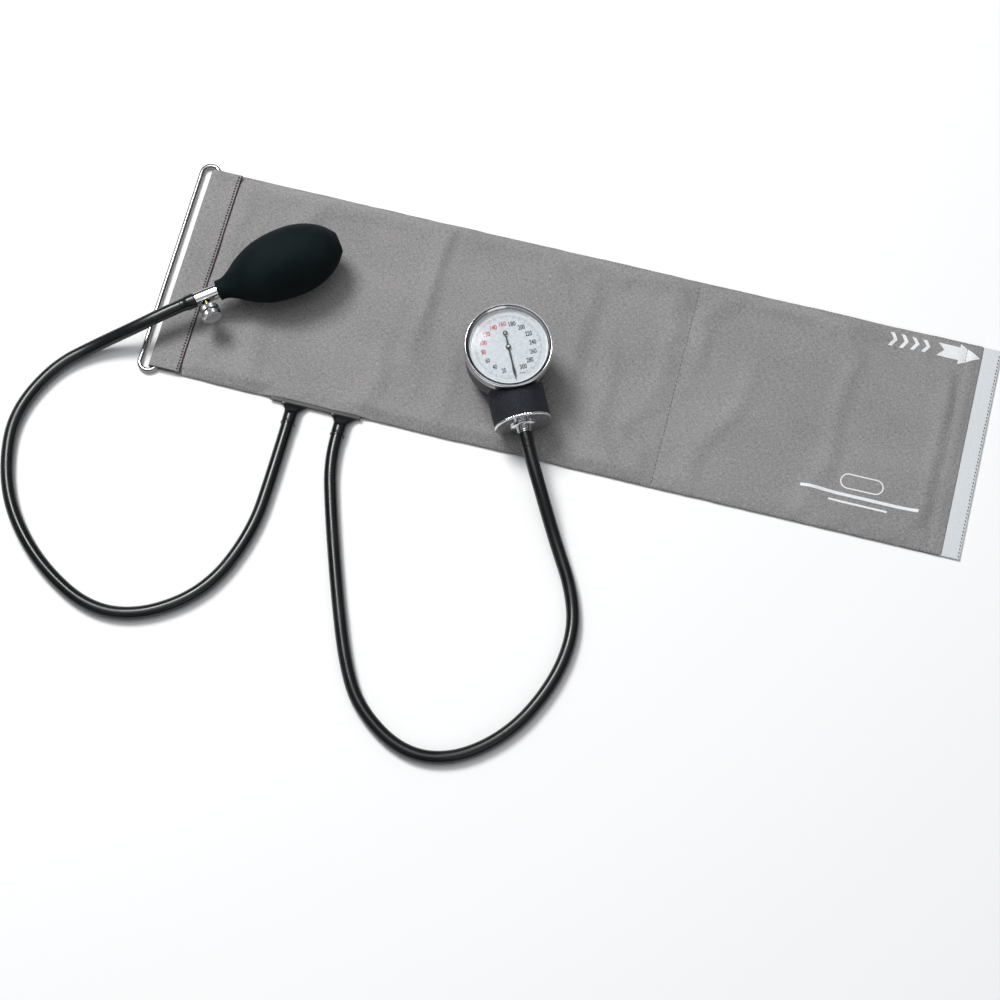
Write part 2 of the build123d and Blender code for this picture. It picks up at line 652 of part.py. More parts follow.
def capsule():
    """A hollow pressure capsule of two corrugated discs with a boss on top and a hole for the stem."""
    def half(side, wall):
        radii = [13.4, 11.6, 9.8, 8.0, 6.2, 4.4, 2.6]
        base = 3.4 - wall
        wave = [0.0, 0.9, -0.1, 0.9, -0.1, 0.9, 0.2]
        return [(CAPSULE_TOP - 4.9 + side * (base + w), r) for r, w in zip(radii, wave)]

    def bellows(wall):
        points = [(CAPSULE_TOP - 4.9 + 0.6 - wall, 14.4 - wall)] + half(1, wall)
        points += [(half(1, wall)[-1][0], 0), (half(-1, wall)[-1][0], 0)] + half(-1, wall)[::-1]
        points += [(CAPSULE_TOP - 4.9 - 0.6 + wall, 14.4 - wall)]
        return turned(points, "Y")

    shell = bellows(0.0) - bellows(0.4)
    shell += rod_along("Y", CAPSULE_TOP - 1.5, CAPSULE_TOP, 2.0)
    return shell - rod_along("Y", CAPSULE_TOP - 10.0, CAPSULE_TOP - 6.0, 1.56)


def capsule_stem():
    """A hollow stem that holds the capsule on the base and lets the air in."""
    return tube_along("Y", DRUM_END - 0.02, CAPSULE_TOP - 7.0, 1.5, 0.7)


def drum_housing():
    """The black cup that holds the capsule; its upper end is cut to meet the case."""
    cup = rod_along("Y", DRUM_END, -15.0, DRUM_RADIUS)
    cup -= rod_along("Y", DRUM_END, DRUM_WEB[0], DRUM_RADIUS - 1.0)
    cup -= rod_along("Y", DRUM_WEB[1], -15.0, DRUM_RADIUS - 1.0)
    cup -= rod_along("Y", -30.0, -26.0, ROD_RADIUS + 0.06)
    cup -= case_envelope(0.03)
    cup -= rod_along("Z", 11.9, 30.0, BEZEL_RADIUS + 0.15)
    return max(cup.solids(), key=lambda s: s.volume)


def leatherette_sleeve():
    """The grained wrap round the drum, trimmed where the case and bezel pass over it."""
    sleeve = tube_along("Y", DRUM_END, -22.3, 17.2, DRUM_RADIUS + 0.05)
    sleeve -= rod_along("Z", -20.0, 30.0, BEZEL_RADIUS + 0.3)
    return max(sleeve.solids(), key=lambda s: s.volume)


def base_plate():
    """The chromed disc with a bead on its rim that closes the drum."""
    points = [(DRUM_END - 0.02, 1.6), (DRUM_END - 0.02, 17.0), (DRUM_END - 0.35, 17.45),
              (DRUM_END - 1.1, 17.5), (DRUM_END - 1.6, 17.1), (DRUM_END - 1.75, 16.2),
              (DRUM_END - 1.75, 1.6)]
    return turned(points, "Y")


def base_nut():
    """The stepped nut under the base plate."""
    top = DRUM_END - 1.77
    outline = [(top, 1.6), (top, 7.6), (top - 0.3, 7.9), (top - 1.3, 7.9), (top - 1.6, 7.6), (top - 1.6, 1.6)]
    return turned(outline, "Y")


def hose_nozzle():
    """The chromed collar and barb that the gauge hose goes on."""
    top = DRUM_END - 1.75 - 1.64
    points = [(top, 0.8), (top, 4.6), (NOZZLE_END + 0.9, 4.6), (NOZZLE_END + 0.6, 3.9), (NOZZLE_END, 3.9),
              (NOZZLE_END, HOSE_INNER - 0.35)]
    for step in (0.8, 3.3, 5.8):
        start = NOZZLE_END - step
        points += [(start, HOSE_INNER - 0.05), (start - 2.0, HOSE_INNER - 0.4)]
    points += [(NOZZLE_END - BARB_LENGTH, 0.8)]
    return turned(points, "Y")


# ---- assembly ----
def cuff_parts():
    left_x = (POCKET_LEFT, TAB_X[0] - 1.0)
    right_x = (TAB_X[1] + 1.0, POCKET_RIGHT - SEAM_GAP)
    return {
        "cuff_inner_panel": inner_panel(),
        "cuff_outer_panel": outer_panel(),
        "ring_sleeve": ring_sleeve(),
        "back_seam_allowance": seam_allowance((POCKET_LEFT, POCKET_RIGHT - SEAM_GAP), 1),
        "front_seam_left": seam_allowance(left_x, -1),
        "front_seam_right": seam_allowance(right_x, -1),
        "loop_patch": loop_patch(),
        "bladder": bladder(),
        "bulb_hose_port": port(BULB_PORT_X),
        "gauge_hose_port": port(GAUGE_PORT_X),
        "tail_inner_panel": tail_panel(TAPE + CLOTH),
        "tail_outer_panel": tail_panel(TAPE),
        "hook_tape": hook_tape(),
        "end_strip": end_strip(),
        "d_ring": d_ring(),
    }


def hose_parts():
    bulb_end = end_of_route(bulb_place, (-VALVE_LENGTH, 0, 0), (-1, 0, 0))
    gauge_end = end_of_route(gauge_place, (0, NOZZLE_END, 0), (0, -1, 0))
    return {
        "bulb_hose": hose("bulb_hose", BULB_HOSE_ROUTE + bulb_end),
        "gauge_hose": hose("gauge_hose", GAUGE_HOSE_ROUTE + gauge_end),
    }


def bulb_parts():
    parts = {
        "bulb_shell": bulb_shell(),
        "inlet_valve_body": inlet_valve_body(),
        "inlet_ball": check_ball(INLET_FACE),
        "inlet_ball_retainer": ball_retainer(INLET_FACE - 6.2, INLET_FACE - 4.8),
        "release_valve_body": valve_body(),
        "outlet_ball": check_ball(OUTLET_FACE),
        "outlet_ball_retainer": ball_retainer(-1.88, -0.6),
    }
    return {name: bulb_place * part for name, part in parts.items()}


def screw_parts():
    parts = {"release_needle": needle(), "stem_o_ring": stem_o_ring(), "release_knob": knob()}
    return {name: screw_place * part for name, part in parts.items()}


def gauge_parts():
    parts = {
        "gauge_case": gauge_case(),
        "bezel": bezel(),
        "gauge_lens": lens(),
        "lens_gasket": lens_gasket(),
        "dial_plate": dial_plate(),
        "pointer": pointer(),
        "pointer_hub": pointer_hub(),
        "pinion_arbor": pinion_arbor(),
        "sector_gear": sector_gear(),
        "sector_arbor": sector_arbor(),
        "movement_top_plate": movement_top_plate(),
        "movement_bottom_plate": movement_bottom_plate(),
        "movement_pillars": movement_pillars(),
        "movement_screws": movement_screws(),
        "movement_posts": movement_posts(),
        "back_screws": back_screws(),
        "hairspring": hairspring(),
        "hairspring_stud": hairspring_stud(),
        "push_rod": push_rod(),
        "capsule": capsule(),
        "capsule_stem": capsule_stem(),
        "drum_housing": drum_housing(),
        "leatherette_sleeve": leatherette_sleeve(),
        "base_plate": base_plate(),
        "base_nut": base_nut(),
        "hose_nozzle": hose_nozzle(),
    }
    return {name: gauge_place * part for name, part in parts.items()}


def main():
    os.makedirs("parts", exist_ok=True)
    everything = cuff_parts() | hose_parts() | bulb_parts() | screw_parts() | gauge_parts()
    for name, part in everything.items():
        export_step(part, f"parts/{name}.step")


main()
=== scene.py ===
import json
import math

import bmesh
import bpy
import numpy as np
from mathutils import Matrix, Vector, noise
from mathutils.bvhtree import BVHTree


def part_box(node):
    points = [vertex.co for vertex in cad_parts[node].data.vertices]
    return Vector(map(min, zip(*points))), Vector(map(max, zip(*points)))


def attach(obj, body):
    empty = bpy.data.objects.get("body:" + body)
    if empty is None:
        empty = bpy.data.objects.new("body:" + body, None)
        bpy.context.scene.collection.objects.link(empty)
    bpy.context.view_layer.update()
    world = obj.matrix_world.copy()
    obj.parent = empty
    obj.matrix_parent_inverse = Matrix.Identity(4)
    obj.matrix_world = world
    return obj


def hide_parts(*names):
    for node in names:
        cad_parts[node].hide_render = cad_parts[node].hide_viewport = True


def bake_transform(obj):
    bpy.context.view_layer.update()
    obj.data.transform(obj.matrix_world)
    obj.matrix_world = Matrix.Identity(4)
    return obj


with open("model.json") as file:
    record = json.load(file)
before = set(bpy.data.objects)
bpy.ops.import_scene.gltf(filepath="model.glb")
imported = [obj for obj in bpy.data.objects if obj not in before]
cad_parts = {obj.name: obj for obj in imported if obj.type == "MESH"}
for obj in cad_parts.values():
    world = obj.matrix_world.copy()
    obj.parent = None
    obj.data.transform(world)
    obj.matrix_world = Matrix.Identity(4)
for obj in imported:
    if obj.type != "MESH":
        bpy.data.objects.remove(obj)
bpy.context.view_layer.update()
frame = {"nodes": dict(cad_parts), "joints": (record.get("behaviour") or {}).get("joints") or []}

MM = 0.001

# ---- the object's own frames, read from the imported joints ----
joints = {joint["name"]: joint for joint in frame["joints"]}


def frame_matrix(origin, x, y):
    """A matrix whose columns are an origin and three square axes, from X and Y."""
    z = x.cross(y)
    rows = [[x[i], y[i], z[i], origin[i]] for i in range(3)]
    return Matrix(rows + [[0, 0, 0, 1]])


def gauge_frame():
    """Dial faces +Z, drum leaves along -Y."""
    z = -Vector(joints["pointer_sweep"]["axis"])
    y = Vector(joints["rod_slide"]["axis"])
    return frame_matrix(Vector(joints["pointer_sweep"]["pos_m"]), y.cross(z), y)


SCREW_BACK = 13.1 * MM        # from the knob's middle back to the screw's zero
SCREW_ALONG = 9.0 * MM        # from the valve's bulb end to the screw


def bulb_frame():
    """X runs from the bulb's neck to its tail; the screw leaves along -Y."""
    x = -Vector(joints["inlet_ball_slide"]["axis"])
    out = Vector(joints["knob_turn"]["axis"])
    screw = Vector(joints["knob_turn"]["pos_m"]) - out * SCREW_BACK
    return frame_matrix(screw + x * SCREW_ALONG, x, -out)


def screw_frame():
    """Z points out along the release screw."""
    out = Vector(joints["knob_turn"]["axis"])
    x = -Vector(joints["inlet_ball_slide"]["axis"])
    origin = Vector(joints["knob_turn"]["pos_m"]) - out * SCREW_BACK
    return frame_matrix(origin, x, out.cross(x))


GAUGE = gauge_frame()
BULB = bulb_frame()
SCREW = screw_frame()


# ---- camera and stage ----
CAMERA_LENS = 93.7                            # millimetres
CAMERA_PLACE = (0.1169, -0.6306, 1.4647)
CAMERA_AIM = (-0.01856, -0.09995, 0.0)
FARTHEST_SEEN = 50
LIGHT_AIM = (0, -0.05, 0)
FLOOR_HALF = 6.0
FLOOR_DROP = -0.0002                          # keeps the floor just below the object's lowest face
SKY_STRENGTH = 0.8
SKY_TONES = [                                 # (height from 0, horizon, to 1, zenith; brightness)
    (0.0, 0.17), (0.10, 0.05), (0.30, 0.06), (0.47, 0.32),
    (0.68, 0.56), (0.73, 0.07), (0.80, 0.07), (0.85, 0.66),
]


def placed(name, data):
    """A new object in the scene."""
    item = bpy.data.objects.new(name, data)
    bpy.context.scene.collection.objects.link(item)
    return item


def aimed(item, place, aim):
    """Puts a camera or light at a place, looking at another."""
    item.location = place
    item.rotation_euler = (Vector(aim) - item.location).to_track_quat("-Z", "Y").to_euler()


def make_camera():
    data = bpy.data.cameras.new("camera")
    data.lens = CAMERA_LENS
    data.clip_end = FARTHEST_SEEN
    camera = placed("camera", data)
    aimed(camera, CAMERA_PLACE, CAMERA_AIM)
    bpy.context.scene.camera = camera


def area_light(name, place, size, power):
    data = bpy.data.lights.new(name, "AREA")
    data.size = size
    data.energy = power
    aimed(placed(name, data), place, LIGHT_AIM)


def make_lights():
    area_light("key_light", (-1.0, 0.62, 1.9), 0.7, 42)
    area_light("top_light", (-0.3, 0.1, 2.4), 1.3, 11)
    area_light("fill_light", (1.2, -1.3, 1.5), 1.2, 3)
    world = bpy.data.worlds.new("studio")
    bpy.context.scene.world = world
    world.use_nodes = True
    look = Look("studio", world.node_tree)
    place = look.nodes.new("ShaderNodeTexCoord").outputs["Generated"]
    height = look.add("SeparateXYZ", "Z", place)
    background = look.nodes["Background"]
    sky = look.ramp(height, [(at, (tone, tone * 1.02, tone * 1.055)) for at, tone in SKY_TONES])
    look.links.new(sky, background.inputs["Color"])
    background.inputs["Strength"].default_value = SKY_STRENGTH
    bpy.context.scene.view_settings.view_transform = "Standard"


def make_floor():
    mesh = bpy.data.meshes.new("floor")
    half = FLOOR_HALF
    corners = [(-half, -half, 0), (half, -half, 0), (half, half, 0), (-half, half, 0)]
    mesh.from_pydata(corners, [], [(0, 1, 2, 3)])
    floor = placed("floor", mesh)
    floor.location.z = FLOOR_DROP
    paper = Look("floor_paper")
    paper.set(Base_Color=(0.86, 0.86, 0.86, 1), Roughness=0.9)
    mesh.materials.append(paper.material)


# ---- materials ----
class Look:
    """A material's or the world's node tree, with short ways to add the nodes used here."""

    def __init__(self, name, tree=None):
        if tree is None:
            self.material = bpy.data.materials.new(name)
            self.material.use_nodes = True
            tree = self.material.node_tree
            self.shader = tree.nodes["Principled BSDF"]
        self.nodes, self.links = tree.nodes, tree.links

    def add(self, kind, output, vector=None, **values):
        """A node of a kind with some of its inputs set; gives the named output."""
        node = self.nodes.new("ShaderNode" + kind)
        for key, value in values.items():
            node.inputs[key].default_value = value
        if vector is not None:
            self.links.new(vector, node.inputs["Vector"])
        return node.outputs[output]

    def set(self, **values):
        """Sets inputs of the shader, given with _ for a space, to a number, a colour or another node."""
        for key, value in values.items():
            socket = self.shader.inputs[key.replace("_", " ")]
            if isinstance(value, bpy.types.NodeSocket):
                self.links.new(value, socket)
            else:
                socket.default_value = value

    def coordinates(self, x, y=None, z=None, source="Object"):
        """Texture coordinates of the piece, in cycles per metre; one number serves for all three."""
        scale = (x, x, x) if y is None else (x, y, z)
        place = self.nodes.new("ShaderNodeTexCoord").outputs[source]
        return self.add("Mapping", "Vector", place, Scale=scale)

    def noise(self, vector, detail=3.0, rough=0.55):
        return self.add("TexNoise", "Fac", vector, Scale=1.0, Detail=detail, Roughness=rough)

    def bands(self, vector, direction):
        """Even bands, one per unit of the vector, along X or Y."""
        fac = self.add("TexWave", "Fac", vector, Scale=0.31, Distortion=0.6, Detail=1.0)
        fac.node.bands_direction = direction
        return fac

    def math(self, operation, a, b):
        value = self.add("Math", "Value")
        value.node.operation = operation
        for socket, item in zip(value.node.inputs, (a, b)):
            if isinstance(item, float):
                socket.default_value = item
            else:
                self.links.new(item, socket)
        return value

    def ramp(self, factor, stops):
        """Colours, or plain numbers as greys, by a factor."""
        color = self.add("ValToRGB", "Color")
        elements = color.node.color_ramp.elements
        while len(elements) < len(stops):
            elements.new(0.5)
        for element, (at, tone) in zip(elements, stops):
            element.position = at
            element.color = (tone, tone, tone, 1) if isinstance(tone, float) else (*tone, 1)
        self.links.new(factor, color.node.inputs["Fac"])
        return color

    def bump(self, height, distance, strength):
        normal = self.add("Bump", "Normal", Strength=strength, Distance=distance)
        self.links.new(height, normal.node.inputs["Height"])
        self.links.new(normal, self.shader.inputs["Normal"])


def shade(color, factor):
    return tuple(channel * factor for channel in color)


def cloth_material(name, color, threads, slub, sheen):
    """A plain weave: crossing threads, uneven yarn and faint large patches of tone."""
    look = Look(name)
    weave = look.coordinates(threads, source="UV")
    cross = look.math("MAXIMUM", look.bands(weave, "X"), look.bands(weave, "Y"))
    along = look.noise(look.coordinates(430.0, 1650.0, 600.0, "UV"))
    across = look.noise(look.coordinates(1650.0, 480.0, 600.0, "UV"))
    yarn = look.math("ADD", along, across)
    patches = look.noise(look.coordinates(16.0, 22.0, 16.0, "UV"), detail=4.0)
    tone = look.math("ADD", look.math("MULTIPLY", yarn, 0.42), look.math("MULTIPLY", patches, 0.16))
    stops = [(0.36, shade(color, 1 - slub)), (0.5, color), (0.64, shade(color, 1 + slub))]
    look.set(Base_Color=look.ramp(tone, stops), Roughness=0.86, Sheen_Weight=sheen, Sheen_Roughness=0.5)
    look.bump(look.math("ADD", look.math("MULTIPLY", cross, 0.5), yarn), 0.00016, 0.7)
    return look.material


def rubber_material(name, color, roughness, grain=900.0, depth=0.00004, shine=0.5):
    look = Look(name)
    broad = look.noise(look.coordinates(45.0))
    rough = look.ramp(broad, [(0.3, roughness - 0.07), (0.7, roughness + 0.08)])
    base = look.ramp(broad, [(0.3, shade(color, 0.75)), (0.7, shade(color, 1.35))])
    look.set(Specular_IOR_Level=shine, Base_Color=base, Roughness=rough)
    look.bump(look.noise(look.coordinates(grain), detail=4.0), depth, 0.5)
    return look.material


def metal_material(name, color, roughness, scratch=(400.0, 400.0, 400.0), depth=0.000004):
    """Plated or bare metal with faint smudges and hairline marks."""
    look = Look(name)
    smudge = look.noise(look.coordinates(60.0))
    rough = look.ramp(smudge, [(0.3, roughness * 0.7), (0.75, roughness * 1.5)])
    base = look.ramp(smudge, [(0.35, shade(color, 0.9)), (0.65, color)])
    look.set(Metallic=1.0, Base_Color=base, Roughness=rough)
    look.bump(look.noise(look.coordinates(*scratch), detail=5.0), depth, 0.4)
    return look.material


def paint_material(name, color, roughness, grain=700.0, depth=0.00001, coat=0.0):
    """Smooth paint, ink or moulded plastic with a fine speck."""
    look = Look(name)
    speck = look.noise(look.coordinates(grain))
    base = look.ramp(speck, [(0.35, shade(color, 0.88)), (0.65, shade(color, 1.06))])
    look.set(Base_Color=base, Roughness=roughness, Coat_Weight=coat, Coat_Roughness=0.1)
    look.bump(speck, depth, 0.5)
    return look.material


def leatherette_material(name, color):
    """A fine pebble grain with darker creases between the pebbles."""
    look = Look(name)
    cells = look.add("TexVoronoi", "Distance", look.coordinates(1500.0), Scale=1.0)
    speck = look.noise(look.coordinates(2600.0), detail=2.0)
    grain = look.noise(look.coordinates(1150.0), rough=0.7)
    stops = [(0.36, shade(color, 0.5)), (0.52, shade(color, 1.6)), (0.68, shade(color, 4.6))]
    look.set(Base_Color=look.ramp(grain, stops), Roughness=0.5, Specular_IOR_Level=0.3)
    look.bump(look.math("ADD", look.math("MULTIPLY", cells, -1.0), speck), 0.0003, 1.0)
    return look.material


def glass_material(name):
    """A clear cover that lets the light through and reflects by its angle."""
    look = Look(name)
    clear = look.add("BsdfTransparent", "BSDF", Color=(0.985, 0.99, 0.99, 1))
    mirror = look.add("BsdfGlossy", "BSDF")
    wipe = look.noise(look.coordinates(70.0))
    look.links.new(look.ramp(wipe, [(0.3, 0.06), (0.8, 0.12)]), mirror.node.inputs["Roughness"])
    mix = look.add("MixShader", "Shader")
    for item, socket in ((look.add("Fresnel", "Fac", IOR=1.14), 0), (clear, 1), (mirror, 2)):
        look.links.new(item, mix.node.inputs[socket])
    look.links.new(mix, look.nodes["Material Output"].inputs["Surface"])
    look.nodes.remove(look.shader)
    return look.material


GREY = (0.236, 0.230, 0.229)
WHITE_TAPE = (0.60, 0.63, 0.65)


THREAD = (0.8, 2500.0, 0.00004, 0.1)          # roughness, grain, its depth, shine


def make_materials():
    """Every material by name: the function that makes it and what it is given after the name."""
    recipes = {
        "grey_cloth": (cloth_material, GREY, 2200.0, 0.42, 0.25),
        "white_tape": (cloth_material, WHITE_TAPE, 1500.0, 0.05, 0.1),
        "hook_tape": (paint_material, (0.10, 0.10, 0.10), 0.55),
        "loop_tape": (cloth_material, (0.15, 0.15, 0.15), 1100.0, 0.35, 0.6),
        "thread_dark": (rubber_material, (0.035, 0.033, 0.032), *THREAD),
        "thread_grey": (rubber_material, (0.12, 0.115, 0.11), *THREAD),
        "thread_pale": (rubber_material, (0.30, 0.292, 0.288), *THREAD),
        # dark brown colour of the thin cord laid beside the sleeve's turned edge
        "brown_binding": (rubber_material, (0.045, 0.026, 0.022), 0.75, *THREAD[1:]),
        "white_print": (paint_material, (0.74, 0.755, 0.765), 0.7, 1200.0, 0.00004),
        "bulb_rubber": (rubber_material, (0.0052, 0.0090, 0.0097), 0.62, 900.0, 0.00004, 0.04),
        "hose_rubber": (rubber_material, (0.004, 0.0052, 0.0056), 0.24, 500.0, 0.00002, 0.36),
        "bladder_rubber": (rubber_material, (0.012, 0.012, 0.012), 0.5),
        "gasket_rubber": (rubber_material, (0.02, 0.02, 0.02), 0.6),
        "ring_wire": (metal_material, (0.33, 0.33, 0.325), 0.13),
        "valve_chrome": (metal_material, (0.60, 0.61, 0.62), 0.07),
        "chrome": (metal_material, (0.74, 0.75, 0.76), 0.11),
        "knurled": (metal_material, (0.50, 0.51, 0.52), 0.26, (1500.0, 1500.0, 1500.0)),
        "brass": (metal_material, (0.76, 0.56, 0.27), 0.22),
        "steel": (metal_material, (0.56, 0.57, 0.58), 0.22, (200.0, 200.0, 1600.0)),
        "satin_ring": (paint_material, (0.70, 0.72, 0.74), 0.35, 400.0),
        "black_paint": (paint_material, (0.005, 0.0055, 0.006), 0.3, 700.0, 0.00001, 0.15),
        "leatherette": (leatherette_material, (0.0042, 0.0058, 0.009)),
        "clear_glass": (glass_material,),
        "dial_white": (paint_material, (0.56, 0.59, 0.62), 0.6),
        "ink_black": (paint_material, (0.02, 0.02, 0.024), 0.6),
        "ink_red": (paint_material, (0.46, 0.03, 0.035), 0.6),
        "ink_grey": (paint_material, (0.12, 0.13, 0.14), 0.6),
        "pointer_black": (paint_material, (0.008, 0.008, 0.01), 0.35),
    }
    return {name: make(name, *rest) for name, (make, *rest) in recipes.items()}


# ---- mesh helpers ----
def add_mesh(name, points, faces, material, smooth=True):
    mesh = bpy.data.meshes.new(name)
    mesh.from_pydata([tuple(p) for p in points], [], faces)
    mesh.validate()
    piece = placed(name, mesh)
    mesh.materials.append(looks[material])
    if smooth:
        mesh.polygons.foreach_set("use_smooth", [True] * len(mesh.polygons))
    return piece


def belongs(piece, slot, body, *stands_for):
    """Given its finish, which is not used, the CAD nodes that it stands for, which it hides, and the body
    that it rides, if it has one.
    """
    if stands_for:
        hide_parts(*stands_for)
    if body:
        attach(piece, body)
    return piece


def in_mm(pairs):
    return [(a * MM, b * MM) for a, b in pairs]


def tube_faces(start, rings, sides):
    """Faces between the rings of a tube whose points begin at start, and the caps on its two ends."""
    faces = []
    for k in range(rings - 1):
        for side in range(sides):
            a, b = start + k * sides + side, start + k * sides + (side + 1) % sides
            faces.append((a, b, b + sides, a + sides))
    faces.append(tuple(start + side for side in range(sides)))
    faces.append(tuple(start + (rings - 1) * sides + side for side in reversed(range(sides))))
    return faces


def outward(piece):
    """Makes every face look outward."""
    work = bmesh.new()
    work.from_mesh(piece.data)
    bmesh.ops.recalc_face_normals(work, faces=work.faces)
    work.to_mesh(piece.data)
    work.free()
    return piece


def sharpen(piece, degrees=35):
    """Smooth faces, with the sharp edges kept sharp."""
    piece.data.set_sharp_from_angle(angle=math.radians(degrees))
    return piece


def applied(piece):
    """The piece with its modifiers made real."""
    graph = bpy.context.evaluated_depsgraph_get()
    mesh = bpy.data.meshes.new_from_object(piece.evaluated_get(graph))
    piece.modifiers.clear()
    piece.data = mesh
    return piece


def lathe(name, profile, place, material, segments=96, closed=False, wave=None):
    """Turns (along, radius) points about the X axis of a place; wave may change the radius round the turn."""
    points = []
    rings = []
    for along, radius in profile:
        if radius <= 0:
            rings.append([len(points)])
            points.append(place @ Vector((along, 0, 0)))
            continue
        ring = []
        for i in range(segments):
            turn = 2 * math.pi * i / segments
            out = radius if wave is None else wave(along, radius, turn)
            ring.append(len(points))
            points.append(place @ Vector((along, out * math.cos(turn), out * math.sin(turn))))
        rings.append(ring)
    faces = []
    pairs = list(zip(rings, rings[1:] + ([rings[0]] if closed else [])))
    if not closed:
        pairs = pairs[:len(rings) - 1]
    for a, b in pairs:
        for i in range(segments):
            j = (i + 1) % segments
            if len(a) == 1:
                faces.append((a[0], b[i], b[j]))
            elif len(b) == 1:
                faces.append((a[i], b[0], a[j]))
            else:
                faces.append((a[i], b[i], b[j], a[j]))
    return sharpen(outward(add_mesh(name, points, faces, material)))


def turned_axis(place, axis):
    """A place whose X is the given local axis of the first place."""
    x = Vector(axis)
    y = Vector((0, 0, 1)) if abs(x.z) < 0.5 else Vector((1, 0, 0))
    y = (y - x * y.dot(x)).normalized()
    return place @ frame_matrix(Vector((0, 0, 0)), x, y)


def smooth_curve(points, per_span=8):
    """A Catmull-Rom curve through points of any dimension."""
    p = np.array(points, float)
    ends = np.vstack([2 * p[0] - p[1], p, 2 * p[-1] - p[-2]])
    out = []
    for i in range(len(p) - 1):
        a, b, c, d = ends[i:i + 4]
        for t in np.linspace(0, 1, per_span, endpoint=False):
            out.append(0.5 * (2 * b + (c - a) * t + (2 * a - 5 * b + 4 * c - d) * t**2
                              + (3 * b - a - 3 * c + d) * t**3))
    return np.array(out + [p[-1]])


def smoothstep(value):
    t = np.clip(value, 0, 1)
    return t * t * (3 - 2 * t)


def ripple(x, y, scale_x, scale_y, seed):
    """Smooth noise over the cloth, about -1 to 1, at a point given in metres."""
    return noise.noise(Vector((x * scale_x, y * scale_y, seed)))


# ---- hoses ----
BULB_HOSE_ROUTE = [
    (-0.1548, -0.0856, 0.0046),
    (-0.1548, -0.1180, 0.0046),
    (-0.1560, -0.1575, 0.0041),
    (-0.1712, -0.1986, 0.0041),
    (-0.2029, -0.2237, 0.0041),
    (-0.2360, -0.2285, 0.0041),
    (-0.2720, -0.2095, 0.0041),
    (-0.2990, -0.1820, 0.0041),
    (-0.3130, -0.1520, 0.0041),
    (-0.3175, -0.1190, 0.0041),
    (-0.3036, -0.0845, 0.0041),
    (-0.2820, -0.0652, 0.0065),
    (-0.2575, -0.0510, 0.0188),
]
GAUGE_HOSE_ROUTE = [
    (-0.1238, -0.0856, 0.0046),
    (-0.1238, -0.1020, 0.0046),
    (-0.1142, -0.1335, 0.0041),
    (-0.0970, -0.1820, 0.0041),
    (-0.0805, -0.2235, 0.0041),
    (-0.0650, -0.2480, 0.0041),
    (-0.0345, -0.2671, 0.0041),
    (-0.0040, -0.2635, 0.0041),
    (0.0240, -0.2395, 0.0041),
    (0.0405, -0.2050, 0.0041),
    (0.0448, -0.1730, 0.0041),
    (0.0375, -0.1470, 0.0041),
    (0.0200, -0.1190, 0.0070),
    (0.0045, -0.0935, 0.0170),
]
PORT_ROOT_Y = -71.8 * MM
HOSE_RADIUS = 4.0 * MM
LAST_RUN = 16.0 * MM
VALVE_FACE = (-14.8 * MM, 0, 0)
NOZZLE_FACE = (0, -49.5 * MM, 0)


def hose_curve(name, route, place, face, direction):
    """A rubber hose: a smooth line along the route and straight onto its fitting."""
    end = place @ Vector(face)
    lined_up = place @ (Vector(face) + Vector(direction) * LAST_RUN)
    curve = bpy.data.curves.new(name, "CURVE")
    curve.dimensions = "3D"
    curve.bevel_depth = HOSE_RADIUS
    curve.bevel_resolution = 7
    curve.resolution_u = 16
    curve.use_fill_caps = True
    spline = curve.splines.new("NURBS")
    points = [*route, tuple(lined_up), tuple(end)]
    spline.points.add(len(points) - 1)
    for target, point in zip(spline.points, points):
        target.co = (*point, 1)
    spline.order_u = 3
    spline.use_endpoint_u = True
    curve.materials.append(looks["hose_rubber"])
    piece = placed(name, curve)
    return piece


def hose_mouth(name, place, face, direction, width):
    """The hose's end where it is stretched over its barb, a little fatter and with a rounded lip."""
    axis = turned_axis(place @ Matrix.Translation(Vector(face)), direction)
    inner = 3.7
    profile = [(0.15, inner), (0.15, width - 0.45), (0.45, width - 0.1), (1.0, width), (4.5, width - 0.05),
               (6.0, width - 0.25), (7.4, 4.12), (9.5, 4.03), (10.5, inner)]
    first, *middle, last = in_mm(profile)
    outline = [first, *[tuple(p) for p in smooth_curve(middle, 4)], last]
    piece = lathe(name, outline, axis, "hose_rubber", 64, closed=True)
    return belongs(piece, "black_rubber", "cuff")


def step_ring(name, centre, direction, radius):
    """The small moulded step on a hose near its port."""
    axis = turned_axis(Matrix.Translation(Vector(centre)), direction)
    profile = [(-0.7, 3.8), (-0.5, radius - 0.05), (-0.2, radius), (0.5, radius - 0.02), (0.8, 3.8)]
    piece = lathe(name, in_mm(profile), axis, "hose_rubber", 48, closed=True)
    return belongs(piece, "black_rubber", "cuff")


def port_skin(name, x, node):
    """The moulded root of a hose: a flat tab that narrows in a hollow curve to the round hose."""
    rings, sides = 22, 56
    start, end = PORT_ROOT_Y, BULB_HOSE_ROUTE[0][1]
    points = []
    for k in range(rings):
        t = k / (rings - 1)
        along = float(smoothstep(t / 0.62))
        tip = 0.28 * float(smoothstep((t - 0.8) / 0.2))
        half_width = (4.3 - tip + 4.6 * (1 - min(t / 0.6, 1)) ** 2.6) * MM
        half_height = (1.0 + 3.3 * along - tip) * MM
        z = (2.6 + 2.0 * along) * MM
        power = 0.55 + 0.45 * along
        for s in range(sides):
            turn = 2 * math.pi * s / sides
            c, d = math.cos(turn), math.sin(turn)
            points.append((x + half_width * math.copysign(abs(c) ** power, c), start + (end - start) * t,
                           z + half_height * math.copysign(abs(d) ** power, d)))
    piece = sharpen(outward(add_mesh(name, points, tube_faces(0, rings, sides), "hose_rubber")), 50)
    return belongs(piece, "black_rubber", "cuff", node)


